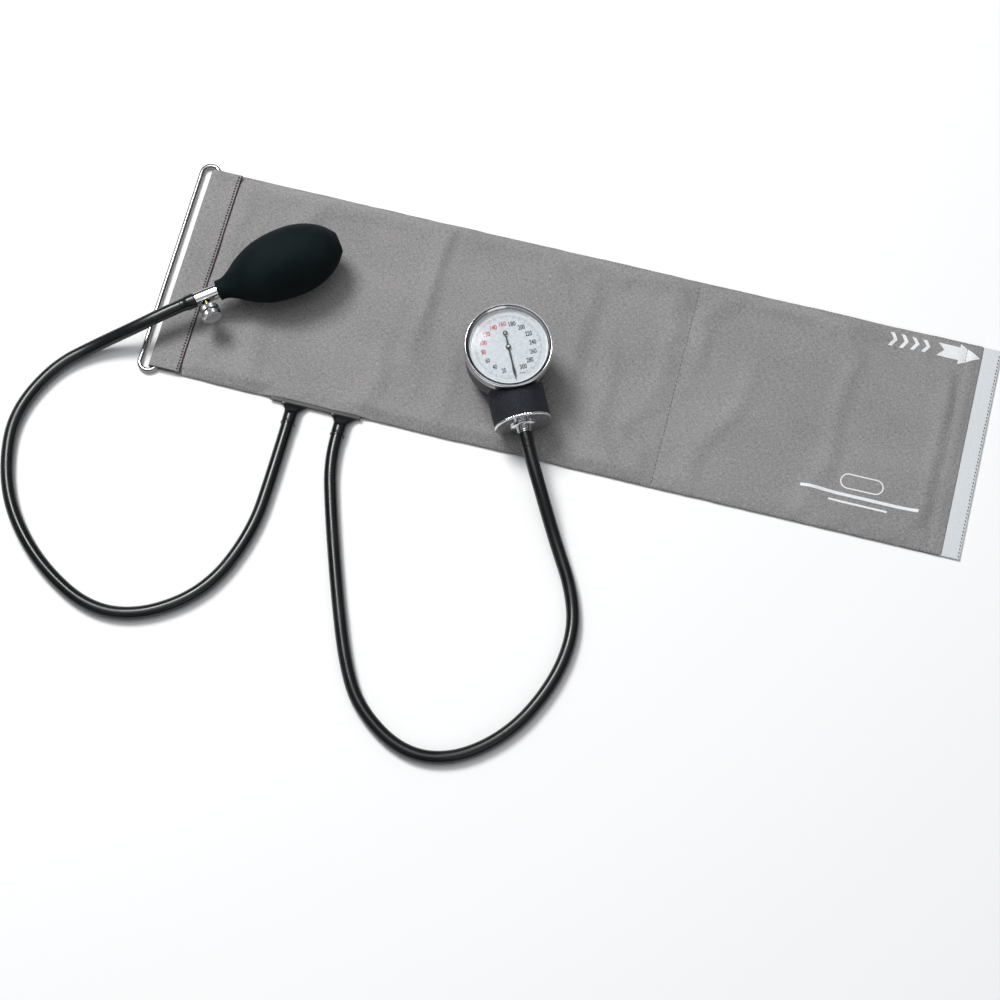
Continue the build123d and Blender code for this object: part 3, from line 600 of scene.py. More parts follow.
def make_hoses():
    bulb_hose = hose_curve("bulb_hose_tube", BULB_HOSE_ROUTE, BULB, VALVE_FACE, (-1, 0, 0))
    gauge_hose = hose_curve("gauge_hose_tube", GAUGE_HOSE_ROUTE, GAUGE, NOZZLE_FACE, (0, -1, 0))
    bulb_mouth = hose_mouth("bulb_hose_mouth", BULB, VALVE_FACE, (-1, 0, 0), 4.65)
    gauge_mouth = hose_mouth("gauge_hose_mouth", GAUGE, NOZZLE_FACE, (0, -1, 0), 4.5)
    bulb_step = step_ring("bulb_hose_step", BULB_HOSE_ROUTE[0], (0, -1, 0), 4.55)
    gauge_step = step_ring("gauge_hose_step", GAUGE_HOSE_ROUTE[0], (0, -1, 0), 4.55)
    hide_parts("bulb_hose")
    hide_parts("gauge_hose")
    bulb_port = port_skin("bulb_port_skin", BULB_HOSE_ROUTE[0][0], "bulb_hose_port")
    gauge_port = port_skin("gauge_port_skin", GAUGE_HOSE_ROUTE[0][0], "gauge_hose_port")
    for hose in (bulb_hose, gauge_hose):
        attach(hose, "cuff")


# ---- cuff ----
inner_low, inner_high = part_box("cuff_inner_panel")
tail_low, tail_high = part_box("tail_inner_panel")
strip_low, strip_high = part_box("end_strip")
sleeve_low, sleeve_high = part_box("ring_sleeve")
patch_low, patch_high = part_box("loop_patch")
hook_low, hook_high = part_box("hook_tape")
bladder_low, bladder_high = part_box("bladder")

HALF_WIDTH = inner_high.y
POCKET_LEFT = inner_low.x
FOLD_X = (inner_high.x + tail_low.x) / 2
CLOTH_RIGHT = tail_high.x
STRIP_RIGHT = strip_high.x
CLOTH_THICK = 0.6 * MM
TAIL_SEAM_X = CLOTH_RIGHT - 8.5 * MM          # stitch line across the tail, near its end
SLIT = (-0.1712, -0.1122)                     # opening in the front edge for the hoses
GRID = 2.4 * MM
CLOTH_EDGE = CLOTH_RIGHT + 1.3 * MM           # turned edge of the upper cloth, which lies over the white tape


def slit_share(x):
    """1 inside the slit of the front edge, 0 away from it."""
    return smoothstep((x - SLIT[0] + 5 * MM) / (9 * MM)) * smoothstep((SLIT[1] + 5 * MM - x) / (9 * MM))


def pocket_share(x):
    """1 over the pocket, 0 on the tail."""
    return smoothstep((FOLD_X - x + 1 * MM) / (15 * MM))


def seam_dip(x, seam, width):
    return math.exp(-((x - seam) / width) ** 2)


def inner_start(x, y):
    """Height of the upper cloth before it settles: pillowed pocket, flat tail, slack folds."""
    from_edge = (HALF_WIDTH - abs(y)) / (8 * MM)
    rise = float(smoothstep(from_edge))
    front = float(slit_share(x)) if y < 0 else 0.0
    pocket = float(pocket_share(x))
    edge_height = 1.6 * MM + front * 2.3 * MM
    pocket_height = edge_height + (4.5 * MM - edge_height) * rise
    taped = float(smoothstep((x - CLOTH_RIGHT + 5 * MM) / (4.5 * MM)))
    tail_height = 1.45 * MM + 0.5 * MM * rise + (0.4 * MM - 0.45 * MM * rise) * taped
    height = tail_height + (pocket_height - tail_height) * pocket
    slack = ripple(x, y, 13, 9, 2.3) * 1.9 + ripple(x, y, 30, 14, 7.9) * 1.3 + ripple(x, y, 62, 40, 4.4) * 0.6
    slack += crease(x, y)
    away = rise * (1 - 0.9 * seam_dip(x, FOLD_X, 7 * MM)) * (1 - 0.9 * seam_dip(x, TAIL_SEAM_X, 4 * MM))
    away *= float(smoothstep((x - POCKET_LEFT) / (9 * MM))) * (1 - taped)
    height += (slack + 0.7) * MM * away
    height -= 0.9 * MM * seam_dip(x, POCKET_LEFT, 6 * MM)
    return max(height, 1.3 * MM)


CREASES = [
    # middle x, lean (x per y), height, half width, y from, y to   (millimetres)
    (-96.0, 0.07, 1.9, 4.5, -30.0, 74.0),
    (-104.0, 0.05, -1.3, 6.0, -40.0, 70.0),
    (-158.0, -0.35, 1.0, 9.0, 10.0, 66.0),
    (-62.0, 0.15, 0.9, 8.0, -66.0, -5.0),
    (24.0, -0.12, 1.2, 8.0, -70.0, 40.0),
    (52.0, 0.25, 1.2, 6.0, -60.0, -18.0),
    (83.0, -0.30, 1.2, 6.0, 6.0, 64.0),
    (108.0, 0.45, 0.8, 8.0, -66.0, 10.0),
    (168.0, 0.10, 0.8, 9.0, -20.0, 70.0),
    (228.0, 0.01, 1.3, 3.4, -64.0, 56.0),
    (-213.0, 0.05, 0.9, 5.0, -66.0, 20.0),
]


def crease(x, y):
    """Soft ridges left from folding the cuff, in millimetres."""
    total = 0.0
    for middle, lean, height, half, low, high in CREASES:
        line = (middle + lean * (y / MM)) * MM
        along = float(smoothstep((y / MM - low) / 22.0) * smoothstep((high - y / MM) / 22.0))
        total += height * along * math.exp(-(((x - line) / MM) / half) ** 2)
    return total


def edge_wave(points):
    """Lets the long edges wander a little, as hand-sewn edges do; both cloths share the same wave."""
    for p in points:
        share = float(smoothstep((abs(p[1]) - HALF_WIDTH + 22 * MM) / (22 * MM)))
        side = 3.0 if p[1] > 0 else 8.0
        wave = ripple(p[0], 0, 24, 0, side) * 0.55 + ripple(p[0], 0, 95, 0, side + 2) * 0.22
        p[1] += wave * share * MM
    return points


def grid_of(low, high, half_width, step):
    columns = max(2, round((high - low) / step))
    rows = max(2, round(2 * half_width / step))
    return np.linspace(low, high, columns + 1), np.linspace(-half_width, half_width, rows + 1)


def grid_faces(columns, rows):
    faces = []
    for i in range(columns - 1):
        for j in range(rows - 1):
            a = i * rows + j
            faces.append((a, a + rows, a + rows + 1, a + 1))
    return faces


SIM_SCALE = 10.0


def collider(name, low, high, radius):
    """A rounded slab for the cloth to settle on, at the simulation's scale."""
    work = bmesh.new()
    bmesh.ops.create_cube(work, size=1.0)
    size = (high - low) * SIM_SCALE
    middle = (high + low) / 2 * SIM_SCALE
    for vertex in work.verts:
        vertex.co = Vector([vertex.co[i] * size[i] + middle[i] for i in range(3)])
    bmesh.ops.bevel(work, geom=work.edges[:], offset=radius * SIM_SCALE, segments=3, affect="EDGES")
    mesh = bpy.data.meshes.new(name)
    work.to_mesh(mesh)
    work.free()
    slab = placed(name, mesh)
    slab.modifiers.new("Collision", "COLLISION")
    slab.collision.thickness_outer = 0.002
    slab.collision.cloth_friction = 12
    return slab


def settle(points, faces, pinned, colliders, frames=18):
    """Lets a sheet settle under gravity on the colliders and gives its points back."""
    mesh = bpy.data.meshes.new("settling")
    mesh.from_pydata([tuple(p * SIM_SCALE) for p in points], [], faces)
    sheet = placed("settling", mesh)
    group = sheet.vertex_groups.new(name="sewn")
    group.add([int(i) for i in np.flatnonzero(pinned)], 1.0, "REPLACE")
    cloth = sheet.modifiers.new("Cloth", "CLOTH")
    cloth.settings.quality = 7
    cloth.settings.mass = 0.04
    cloth.settings.tension_stiffness = 30
    cloth.settings.compression_stiffness = 30
    cloth.settings.shear_stiffness = 12
    cloth.settings.bending_stiffness = 6.0
    cloth.settings.air_damping = 2.0
    cloth.settings.shrink_min = -0.005
    cloth.settings.effector_weights.gravity = 0.5
    cloth.settings.vertex_group_mass = "sewn"
    cloth.collision_settings.distance_min = 0.004
    cloth.collision_settings.collision_quality = 3
    scene = bpy.context.scene
    scene.frame_end = frames
    cloth.point_cache.frame_end = frames
    for number in range(1, frames + 1):
        scene.frame_set(number)
    graph = bpy.context.evaluated_depsgraph_get()
    settled = sheet.evaluated_get(graph).data
    out = np.array([v.co for v in settled.vertices]) / SIM_SCALE
    scene.frame_set(1)
    for item in [sheet, *colliders]:
        bpy.data.objects.remove(item)
    return out


def with_uv(piece, points_uv):
    """A flat map in metres, so that the weave keeps its size and stays on the cloth."""
    layer = piece.data.uv_layers.new(name="cloth")
    loops = np.zeros(len(piece.data.loops), np.int32)
    piece.data.loops.foreach_get("vertex_index", loops)
    layer.data.foreach_set("uv", points_uv[loops].astype(np.float32).ravel())
    return piece


def thick_sheet(name, middle, rows, thickness, uv, material):
    """A closed sheet of even thickness about a grid of middle points."""
    columns = len(middle) // rows
    faces = grid_faces(columns, rows)
    grid = middle.reshape(columns, rows, 3)
    normal = np.cross(np.gradient(grid, axis=0), np.gradient(grid, axis=1)).reshape(-1, 3)
    normal /= np.linalg.norm(normal, axis=1)[:, None]
    upper = middle + normal * thickness / 2
    lower = middle - normal * thickness / 2
    count = len(middle)
    edge = [i * rows for i in range(columns)]
    edge += [(columns - 1) * rows + j for j in range(1, rows)]
    edge += [i * rows + rows - 1 for i in range(columns - 2, -1, -1)]
    edge += [j for j in range(rows - 2, 0, -1)]
    all_faces = list(faces) + [tuple(count + i for i in reversed(f)) for f in faces]
    for a, b in zip(edge, edge[1:] + edge[:1]):
        all_faces.append((b, a, count + a, count + b))
    piece = add_mesh(name, np.vstack([upper, lower]), all_faces, material)
    with_uv(piece, np.vstack([uv, uv]))
    return outward(piece)


def finer(piece):
    smooth = piece.modifiers.new("Subdivision", "SUBSURF")
    smooth.levels = 1
    smooth.render_levels = 1
    smooth.boundary_smooth = "PRESERVE_CORNERS"
    return applied(piece)


def pucker(piece):
    """Small gathers beside every line of stitches, and the stitch lines pressed in."""
    mesh = piece.data
    points = np.zeros(len(mesh.vertices) * 3)
    mesh.vertices.foreach_get("co", points)
    points = points.reshape(-1, 3)
    for p in points:
        x, y = p[0], p[1]
        for seam, depth, width in ((FOLD_X, 0.16, 1.5), (TAIL_SEAM_X, 0.32, 1.1)):
            near = abs(x - seam) / MM
            if near < 12:
                gather = ripple(x, y, 60, 330, 11.3) * 0.24 + ripple(x, y, 60, 120, 5.1) * 0.3
                p[2] += gather * MM * math.exp(-(near / 5) ** 2) - depth * MM * math.exp(-(near / width) ** 2)
        edge = (HALF_WIDTH - abs(y)) / MM
        if edge < 10:
            p[2] += ripple(x, y, 300, 70, 8.8) * 0.16 * MM * math.exp(-(edge / 4) ** 2)
        if y:
            p[2] = max(p[2], 0.9 * MM)
    mesh.vertices.foreach_set("co", points.ravel())
    mesh.update()
    return piece


def press_down(points):
    """Keeps the cloth just under the bulb and the gauge that lie on it."""
    resting = Surface([frame["nodes"][name] for name in RESTING], below=True)
    for p in points:
        above = resting.height(p[0], p[1])
        if above is not None:
            p[2] = min(p[2], above - 0.55 * MM)
    return points


RESTING = ["bulb_shell", "gauge_case", "leatherette_sleeve", "base_plate", "back_screws", "drum_housing"]


def make_inner_cloth():
    """The upper cloth of the pocket and the tail, one piece from the ring sleeve to the end tape."""
    xs, ys = grid_of(POCKET_LEFT - 2.6 * MM, CLOTH_EDGE, HALF_WIDTH, GRID)
    uv = np.array([(x, y) for x in xs for y in ys])
    points = np.array([(x, y, inner_start(x, y)) for x, y in uv])
    pinned = np.abs(uv[:, 1]) > HALF_WIDTH - 0.1 * MM
    for seam, reach in ((FOLD_X, 2.5 * MM), (TAIL_SEAM_X, 1.3 * MM), (POCKET_LEFT - 2 * MM, 3 * MM)):
        pinned |= np.abs(uv[:, 0] - seam) < reach
    pinned |= uv[:, 0] > CLOTH_EDGE - 3 * MM
    bag_high = Vector((bladder_high.x, bladder_high.y, bladder_high.z - 0.2 * MM))
    bag_low = Vector((bladder_low.x, -bladder_high.y, bladder_low.z))
    ground = Vector((0.32, 0.2, 1.15 * MM))
    slabs = [collider("bag", bag_low, bag_high, 0.9 * MM),
             collider("ground", Vector((-0.32, -0.2, -0.02)), ground, 0.2 * MM)]
    points = settle(points, grid_faces(len(xs), len(ys)), pinned, slabs)
    points = press_down(edge_wave(points))
    piece = thick_sheet("inner_cloth", points, len(ys), CLOTH_THICK, uv, "grey_cloth")
    piece = pucker(finer(piece))
    belongs(piece, "grey_cloth", None, "cuff_inner_panel", "tail_inner_panel", "back_seam_allowance",
            "front_seam_left", "front_seam_right")
    return piece


def outer_height(x, y):
    """Height of the lower cloth's middle: down on the table, up over the tapes and at its sewn edges."""
    lift = 0.0
    for low, high in ((patch_low, patch_high), (hook_low, hook_high)):
        inside_x = smoothstep((x - low.x + 6 * MM) / (6 * MM)) * smoothstep((high.x + 6 * MM - x) / (6 * MM))
        inside_y = smoothstep((high.y + 6 * MM - abs(y)) / (6 * MM))
        lift = max(lift, float(inside_x * inside_y))
    height = 0.36 * MM + lift * 0.76 * MM
    near_edge = 1 - float(smoothstep((HALF_WIDTH - abs(y)) / (6 * MM)))
    front = float(slit_share(x)) if y < 0 else 0.0
    pocket = float(pocket_share(x))
    edge_height = 0.98 * MM * pocket + 0.82 * MM * (1 - pocket)
    edge_height += (1.05 * MM - edge_height) * front
    height += (edge_height - height) * near_edge if edge_height > height else 0.0
    height += (1.25 * MM - height) * seam_dip(x, FOLD_X, 4 * MM) * 0.5
    taped = float(smoothstep((x - CLOTH_RIGHT + 1 * MM) / (2 * MM)))
    return height + (0.84 * MM - height) * taped


def make_outer_cloth():
    """The lower cloth, which carries the loop patch and the hook tape."""
    xs, ys = grid_of(POCKET_LEFT - 2.6 * MM, CLOTH_EDGE, HALF_WIDTH, GRID)
    uv = np.array([(x, y) for x in xs for y in ys])
    points = np.array([(x, y, outer_height(x, y)) for x, y in uv])
    points = edge_wave(points)
    piece = finer(thick_sheet("outer_cloth", points, len(ys), CLOTH_THICK * 0.95, uv, "grey_cloth"))
    belongs(piece, "grey_cloth", None, "cuff_outer_panel", "tail_outer_panel")
    return piece


def run_of(path):
    """How far along a path each of its points is."""
    return np.concatenate([[0], np.cumsum(np.linalg.norm(np.diff(path, axis=0), axis=1))])


SLEEVE_PATH = [
    # across the cuff's end: from the lower seam, round the ring's bar, to the turned edge on top
    (-230.2, 1.35), (-234.0, 0.62), (-239.0, 0.36), (-244.0, 0.38), (-247.3, 0.95), (-248.2, 2.3),
    (-247.2, 3.85), (-244.0, 4.35), (-240.5, 4.25), (-236.5, 4.15), (-232.5, 4.3), (-229.6, 4.55),
    (-228.75, 4.25), (-229.4, 3.95), (-233.0, 3.8),
]


def make_sleeve():
    """The strip of cloth that wraps the ring's inner bar and is sewn down with a turned edge."""
    half = HALF_WIDTH - 0.8 * MM
    path = smooth_curve(SLEEVE_PATH, 5) * MM
    ys = np.linspace(-half, half, 96)
    top = np.clip((path[:, 1] - 2.2 * MM) / (2 * MM), -1, 1)
    length = run_of(path)
    points, uv = [], []
    for k, (x, z) in enumerate(path):
        for y in ys:
            mouth = float(smoothstep((abs(y) - half + 7 * MM) / (7 * MM)))
            sway = ripple(x, y, 60, 26, 1.7) * 0.75 + ripple(x, y, 140, 70, 9.2) * 0.3
            held = min(1.0, abs(x / MM + 229) / 6)
            lift = (sway * held + mouth * 0.5 * max(top[k], 0) * held) * MM
            edge_sway = ripple(0, y, 0, 30, 3.3) * 0.25 * MM
            points.append((x + edge_sway, y, max(z + lift * max(top[k], 0.0), 0.31 * MM)))
            uv.append((length[k], y))
    sheet = thick_sheet("sleeve_cloth", np.array(points), len(ys), CLOTH_THICK, np.array(uv), "grey_cloth")
    piece = finer(sheet)
    return belongs(piece, "grey_cloth", "cuff", "ring_sleeve")


def make_end_tape():
    """White tape folded over the tail's end."""
    left, right = CLOTH_RIGHT / MM, STRIP_RIGHT / MM
    path = [(left, 0.28), (left + 4, 0.28), (right - 2.5, 0.3), (right - 0.6, 0.42), (right - 0.22, 0.85),
            (right - 0.6, 1.28), (right - 2.5, 1.4), (left + 4, 1.38), (left - 1.5, 1.36)]
    path = smooth_curve(path, 6) * MM
    half = HALF_WIDTH - 0.1 * MM
    ys = np.linspace(-half, half, 100)
    length = run_of(path)
    points, uv = [], []
    for k, (x, z) in enumerate(path):
        upper = max(0.0, min(1.0, (z / MM - 0.9) * 2)) * float(smoothstep((x / MM - left - 3) / 4))
        for y in ys:
            wave = ripple(x, y, 40, 60, 6.1) * 0.12 + ripple(x, y, 40, 230, 2.9) * 0.07
            sway = ripple(0, y, 0, 22, 12.4) * 0.25 * MM
            free = max(0.0, 1 - (x - left * MM) / (13 * MM))
            points.append((x + sway * free, y, z + abs(wave) * upper * MM))
            uv.append((length[k], y))
    sheet = thick_sheet("end_tape", np.array(points), len(ys), 0.4 * MM, np.array(uv), "white_tape")
    piece = finer(sheet)
    return belongs(piece, "white_tape", "tail", "end_strip")


def rounded_patch(name, low, high, radius, z_low, z_high, material, step=3 * MM):
    """A thin sewn patch with rounded corners and soft edges."""
    xs = np.linspace(low.x, high.x, max(3, round((high.x - low.x) / step)))
    ys = np.linspace(low.y, high.y, max(3, round((high.y - low.y) / step)))
    points, uv = [], []
    for x in xs:
        for y in ys:
            inset_x = max(0.0, radius - min(x - low.x, high.x - x))
            inset_y = max(0.0, radius - min(y - low.y, high.y - y))
            far = math.hypot(inset_x, inset_y)
            pull = (far - radius) / far if far > radius else 0.0
            px = x + (inset_x * pull) * (1 if x < (low.x + high.x) / 2 else -1)
            py = y + (inset_y * pull) * (1 if y < (low.y + high.y) / 2 else -1)
            points.append((px, py, (z_low + z_high) / 2))
            uv.append((px, py))
    piece = thick_sheet(name, np.array(points), len(ys), z_high - z_low, np.array(uv), material)
    return finer(piece)


def make_loop_patch():
    piece = rounded_patch("loop_patch_cloth", patch_low, patch_high, 6 * MM, 0.0, 0.75 * MM, "loop_tape")
    return belongs(piece, "loop_tape", "cuff", "loop_patch")


HOOK_PITCH = 1.7 * MM


def add_hook(points, faces, x, y, top, height):
    """One small hook: a bent stem with a blunt tip, hanging from the tape."""
    radius = 0.13 * MM
    line = [(0, 0), (0.02, -0.45), (0.14, -0.8), (0.36, -1.0), (0.56, -0.82)]
    sides = 5
    start = len(points)
    for k, (dx, dz) in enumerate(line):
        for s in range(sides):
            turn = 2 * math.pi * s / sides
            points.append((x + dx * height + radius * math.cos(turn), y + radius * math.sin(turn),
                           top + dz * height + (0.3 * radius * math.cos(turn) * k)))
    faces.extend(tube_faces(start, len(line), sides))


def make_hook_tape():
    base = rounded_patch("hook_tape_base", hook_low, hook_high, 1.5 * MM, 0.45 * MM, 0.78 * MM, "hook_tape")
    belongs(base, "hook_tape", "tail", "hook_tape")


def make_hooks():
    points, faces = [], []
    height = 0.43 * MM
    row = 0
    x = hook_low.x + 2.5 * MM
    while x < hook_high.x - 2.5 * MM:
        y = hook_low.y + (2.5 + 0.4 * (row % 2)) * MM
        while y < hook_high.y - 2.5 * MM:
            add_hook(points, faces, x, y, 0.46 * MM, height)
            y += HOOK_PITCH
        x += HOOK_PITCH
        row += 1
    belongs(outward(add_mesh("hook_tape_hooks", points, faces, "hook_tape")), "hook_tape", "tail")


# ---- sewing and print on the cloth ----
class Surface:
    """Finds the height of the topmost or lowest cloth at a place."""

    def __init__(self, pieces, below=False):
        points, faces = [], []
        for piece in pieces:
            start = len(points)
            points += [v.co.copy() for v in piece.data.vertices]
            faces += [[start + i for i in p.vertices] for p in piece.data.polygons]
        self.tree = BVHTree.FromPolygons(points, faces)
        self.below = below

    def height(self, x, y):
        origin = Vector((x, y, -0.02 if self.below else 0.05))
        direction = Vector((0, 0, 1 if self.below else -1))
        hit = self.tree.ray_cast(origin, direction)
        return hit[0].z if hit[0] is not None else None


def add_stitch(points, faces, a, b, radius, out):
    """A short thread that enters the cloth at both ends."""
    along = (b - a).normalized()
    side = along.cross(out).normalized()
    start = len(points)
    sides = 6
    for share, size, sink in ((0, 0.55, -0.9), (0.14, 0.95, 0.25), (0.5, 1.0, 0.55), (0.86, 0.95, 0.25),
                              (1, 0.55, -0.9)):
        centre = a.lerp(b, share) + out * radius * sink
        for s in range(sides):
            turn = 2 * math.pi * s / sides
            points.append(centre + (side * math.cos(turn) + out * math.sin(turn)) * radius * size)
    faces.extend(tube_faces(start, 5, sides))


def stitch_rows(name, rows, surface, material, radius=0.2 * MM):
    """Rows of stitches between two places: (x0, y0, x1, y1, pitch, length, slant across the row)."""
    points, faces = [], []
    out = Vector((0, 0, -1 if surface.below else 1))
    for x0, y0, x1, y1, pitch, length, slant in rows:
        start, end = Vector((x0, y0, 0)), Vector((x1, y1, 0))
        along = (end - start).normalized()
        across = Vector((-along.y, along.x, 0))
        count = int((end - start).length / pitch)
        for i in range(count):
            middle = start + along * pitch * (i + 0.5)
            middle += across * ripple(middle.x, middle.y, 90, 90, 4.2) * 0.3 * MM
            a = middle - along * length / 2 - across * slant / 2
            b = middle + along * length / 2 + across * slant / 2
            heights = [surface.height(p.x, p.y) for p in (a, b)]
            if None in heights:
                continue
            a.z, b.z = heights
            add_stitch(points, faces, a, b, radius, out)
    return outward(add_mesh(name, points, faces, material))


def print_patch(name, outline, surface, material, lift=0.16 * MM, cell=1.2 * MM):
    """A flat printed shape laid on the cloth: the outline's face, cut into cells that follow the surface."""
    work = bmesh.new()
    work.faces.new([work.verts.new((x, y, 0)) for x, y in outline])
    low = Vector((min(p[0] for p in outline), min(p[1] for p in outline), 0))
    high = Vector((max(p[0] for p in outline), max(p[1] for p in outline), 0))
    for axis in (0, 1):
        normal = Vector((1 - axis, axis, 0))
        at = low[axis] + cell
        while at < high[axis]:
            place = low.copy()
            place[axis] = at
            bmesh.ops.bisect_plane(work, geom=work.verts[:] + work.edges[:] + work.faces[:],
                                   plane_co=place, plane_no=normal, dist=1e-7)
            at += cell
    bmesh.ops.triangulate(work, faces=[f for f in work.faces if len(f.verts) > 4])
    for vertex in work.verts:
        vertex.co.z = (surface.height(vertex.co.x, vertex.co.y) or 2 * MM) + lift
    below = bmesh.ops.extrude_face_region(work, geom=work.faces[:])
    for vertex in [v for v in below["geom"] if isinstance(v, bmesh.types.BMVert)]:
        vertex.co.z -= lift * 1.4
    mesh = bpy.data.meshes.new(name)
    work.to_mesh(mesh)
    work.free()
    piece = placed(name, mesh)
    mesh.materials.append(looks[material])
    return outward(piece)


def oval(middle, half_length, radius, steps=14):
    """Outline of a long rounded shape, in millimetres."""
    points = []
    for side in (1, -1):
        for k in range(steps + 1):
            turn = math.pi * k / steps - math.pi / 2
            points.append((middle[0] + side * (half_length - radius + radius * math.cos(turn)),
                           middle[1] + side * radius * math.sin(turn)))
    return points


ARROW_Y = 61.2 * MM


def make_print(surface):
    """An arrow to the tail's end behind four chevrons, and a blank label: a ring of ink over two bars."""
    tip, base_x, tail_x, mid = 243.8, 230.6, 217.0, ARROW_Y / MM
    arrow = [(tip, mid), (base_x, mid + 7.0), (base_x, mid + 4.3), (tail_x, mid + 4.3), (tail_x + 4.2, mid),
             (tail_x, mid - 4.3), (base_x, mid - 4.3), (base_x, mid - 7.0)]
    shapes = {"arrow_print": arrow}
    for k in range(4):
        x = 187.0 + 6.8 * k
        shapes[f"chevron_{k + 1}_print"] = [(x, mid + 3.7), (x + 2.4, mid + 3.7), (x + 5.2, mid - 0.6),
                                            (x + 2.4, mid - 4.9), (x, mid - 4.9), (x + 2.8, mid - 0.6)]
    shapes["bar_print"] = [(154, -47.3), (226, -47.3), (226, -45.3), (154, -45.3)]
    shapes["short_bar_print"] = [(172, -51.7), (208, -51.7), (208, -50.4), (172, -50.4)]
    ring = oval((190, -37.2), 13.3, 5.0)
    inner_ring = oval((190, -37.2), 12.5, 4.2)
    half = len(ring) // 2
    shapes["label_ring_left_print"] = ring[half:] + [ring[0]] + [inner_ring[0]] + inner_ring[half:][::-1]
    shapes["label_ring_right_print"] = ring[:half + 1] + inner_ring[:half + 1][::-1]
    for name, outline in shapes.items():
        piece = print_patch(name, in_mm(outline), surface, "white_print")
        belongs(piece, "white_tape", "tail")
        if name == "arrow_print":
            row = [(TAIL_SEAM_X, ARROW_Y - 6.6 * MM, TAIL_SEAM_X, ARROW_Y + 6.8 * MM, 2.3 * MM, 1.7 * MM, 0)]
            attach(stitch_rows("arrow_stitching", row, Surface([piece]), "thread_grey", 0.16 * MM), "tail")


def make_sewing(inner, sleeve, tape):
    """Every line of stitches, the print and the thin dark brown cord beside the sleeve."""
    half = HALF_WIDTH
    sleeve_x = POCKET_LEFT - 0.9 * MM
    row = [(sleeve_x, -half + 1.5 * MM, sleeve_x, half - 1.5 * MM, 1.95 * MM, 1.1 * MM, 0)]
    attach(stitch_rows("sleeve_stitching", row, Surface([sleeve]), "thread_dark", 0.5 * MM), "cuff")
    tail_rows = [(TAIL_SEAM_X, -half + 3 * MM, TAIL_SEAM_X, ARROW_Y - 8 * MM, 2.9 * MM, 2.1 * MM, 0)]
    tail_row = stitch_rows("tail_stitching", tail_rows, Surface([inner]), "thread_pale", 0.24 * MM)
    tape_x = STRIP_RIGHT - 1.2 * MM
    tape_rows = [(tape_x, -half + 1 * MM, tape_x, half - 1 * MM, 2.3 * MM, 1.35 * MM, 0.5 * MM)]
    tape_row = stitch_rows("tape_stitching", tape_rows, Surface([tape]), "thread_dark", 0.26 * MM)
    for piece in (tail_row, tape_row):
        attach(piece, "tail")
    mid_rows = [(FOLD_X, -half + 2 * MM, FOLD_X, half - 1 * MM, 2.8 * MM, 2.0 * MM, 0)]
    mid_row = stitch_rows("mid_seam_stitching", mid_rows, Surface([inner]), "thread_grey", 0.2 * MM)
    y = half - 0.9 * MM
    edge_runs = [(POCKET_LEFT + 1 * MM, y, CLOTH_RIGHT, y), (POCKET_LEFT + 1 * MM, -y, SLIT[0] - 6 * MM, -y),
                 (SLIT[1] + 6 * MM, -y, CLOTH_RIGHT, -y)]
    edge_rows = [(*run, 2.2 * MM, 0.5 * MM, 1.5 * MM) for run in edge_runs]
    edge_row = stitch_rows("edge_stitching", edge_rows, Surface([inner]), "thread_grey", 0.16 * MM)
    for piece in (mid_row, edge_row):
        blend_over_fold(piece)
    patch_rows = []
    inset = 2.2 * MM
    corners = [(patch_low.x + inset, patch_low.y + inset), (patch_high.x - inset, patch_low.y + inset),
               (patch_high.x - inset, patch_high.y - inset), (patch_low.x + inset, patch_high.y - inset)]
    for a, b in zip(corners, corners[1:] + corners[:1]):
        patch_rows.append((*a, *b, 3.0 * MM, 2.2 * MM, 0))
    loop_surface = Surface([bpy.data.objects["loop_patch_cloth"]], below=True)
    patch_row = stitch_rows("loop_patch_stitching", patch_rows, loop_surface, "thread_grey", 0.12 * MM)
    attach(patch_row, "cuff")
    make_print(Surface([inner]))
    make_edge_cord(Surface([inner, sleeve, tape]))


def make_edge_cord(surface):
    """A thin dark brown cord laid along the cloth beside the sleeve's turned edge."""
    points = []
    x = POCKET_LEFT + 0.6 * MM
    sides = 8
    radius = 0.42 * MM
    ys = np.linspace(-HALF_WIDTH + 1.2 * MM, HALF_WIDTH - 1.2 * MM, 120)
    for y in ys:
        z = surface.height(x, y) or 4 * MM
        for s in range(sides):
            turn = 2 * math.pi * s / sides
            points.append((x + radius * 1.1 * math.cos(turn) + ripple(0, y, 0, 30, 3.3) * 0.25 * MM, y,
                           z + radius * 0.55 * math.sin(turn) - 0.02 * MM))
    faces = tube_faces(0, len(ys), sides)
    # a thin dark brown cord along the sleeve's turned edge
    belongs(outward(add_mesh("sleeve_edge_dark_cord", points, faces, "brown_binding")), "grey_cloth", "cuff")


def blend_over_fold(piece):
    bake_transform(piece)


# ---- bulb and release valve ----
BULB_PROFILE = [
    (0.0, 5.9), (0.4, 6.3), (4.5, 6.5), (9.5, 8.9), (16.0, 13.4), (23.0, 17.0), (30.0, 19.5), (38.5, 21.0),
    (47.0, 21.4), (55.0, 20.9), (63.0, 18.9), (69.5, 15.9), (74.5, 12.3), (77.6, 9.0), (79.3, 6.9),
]
BULB_LENGTH = 80.0
MOULD_LINE = 41.0
BULB_BORE_START = 4.25
TAIL_BORE_END = 4.65


def bulb_wave(along, radius, turn):
    """Sinks the cross mould line a little and raises the two lengthwise ones."""
    across = math.exp(-(((along / MM) - MOULD_LINE) / 0.45) ** 2)
    side = abs(math.sin(turn + 0.9))
    lengthwise = math.exp(-(side * radius / MM / 0.5) ** 2)
    body = float(smoothstep((along / MM - 6) / 6) * smoothstep((BULB_LENGTH - 2 - along / MM) / 6))
    outside = 1.0 if radius > 5 * MM else 0.0
    return radius + (-0.07 * across + 0.06 * lengthwise) * body * outside * MM


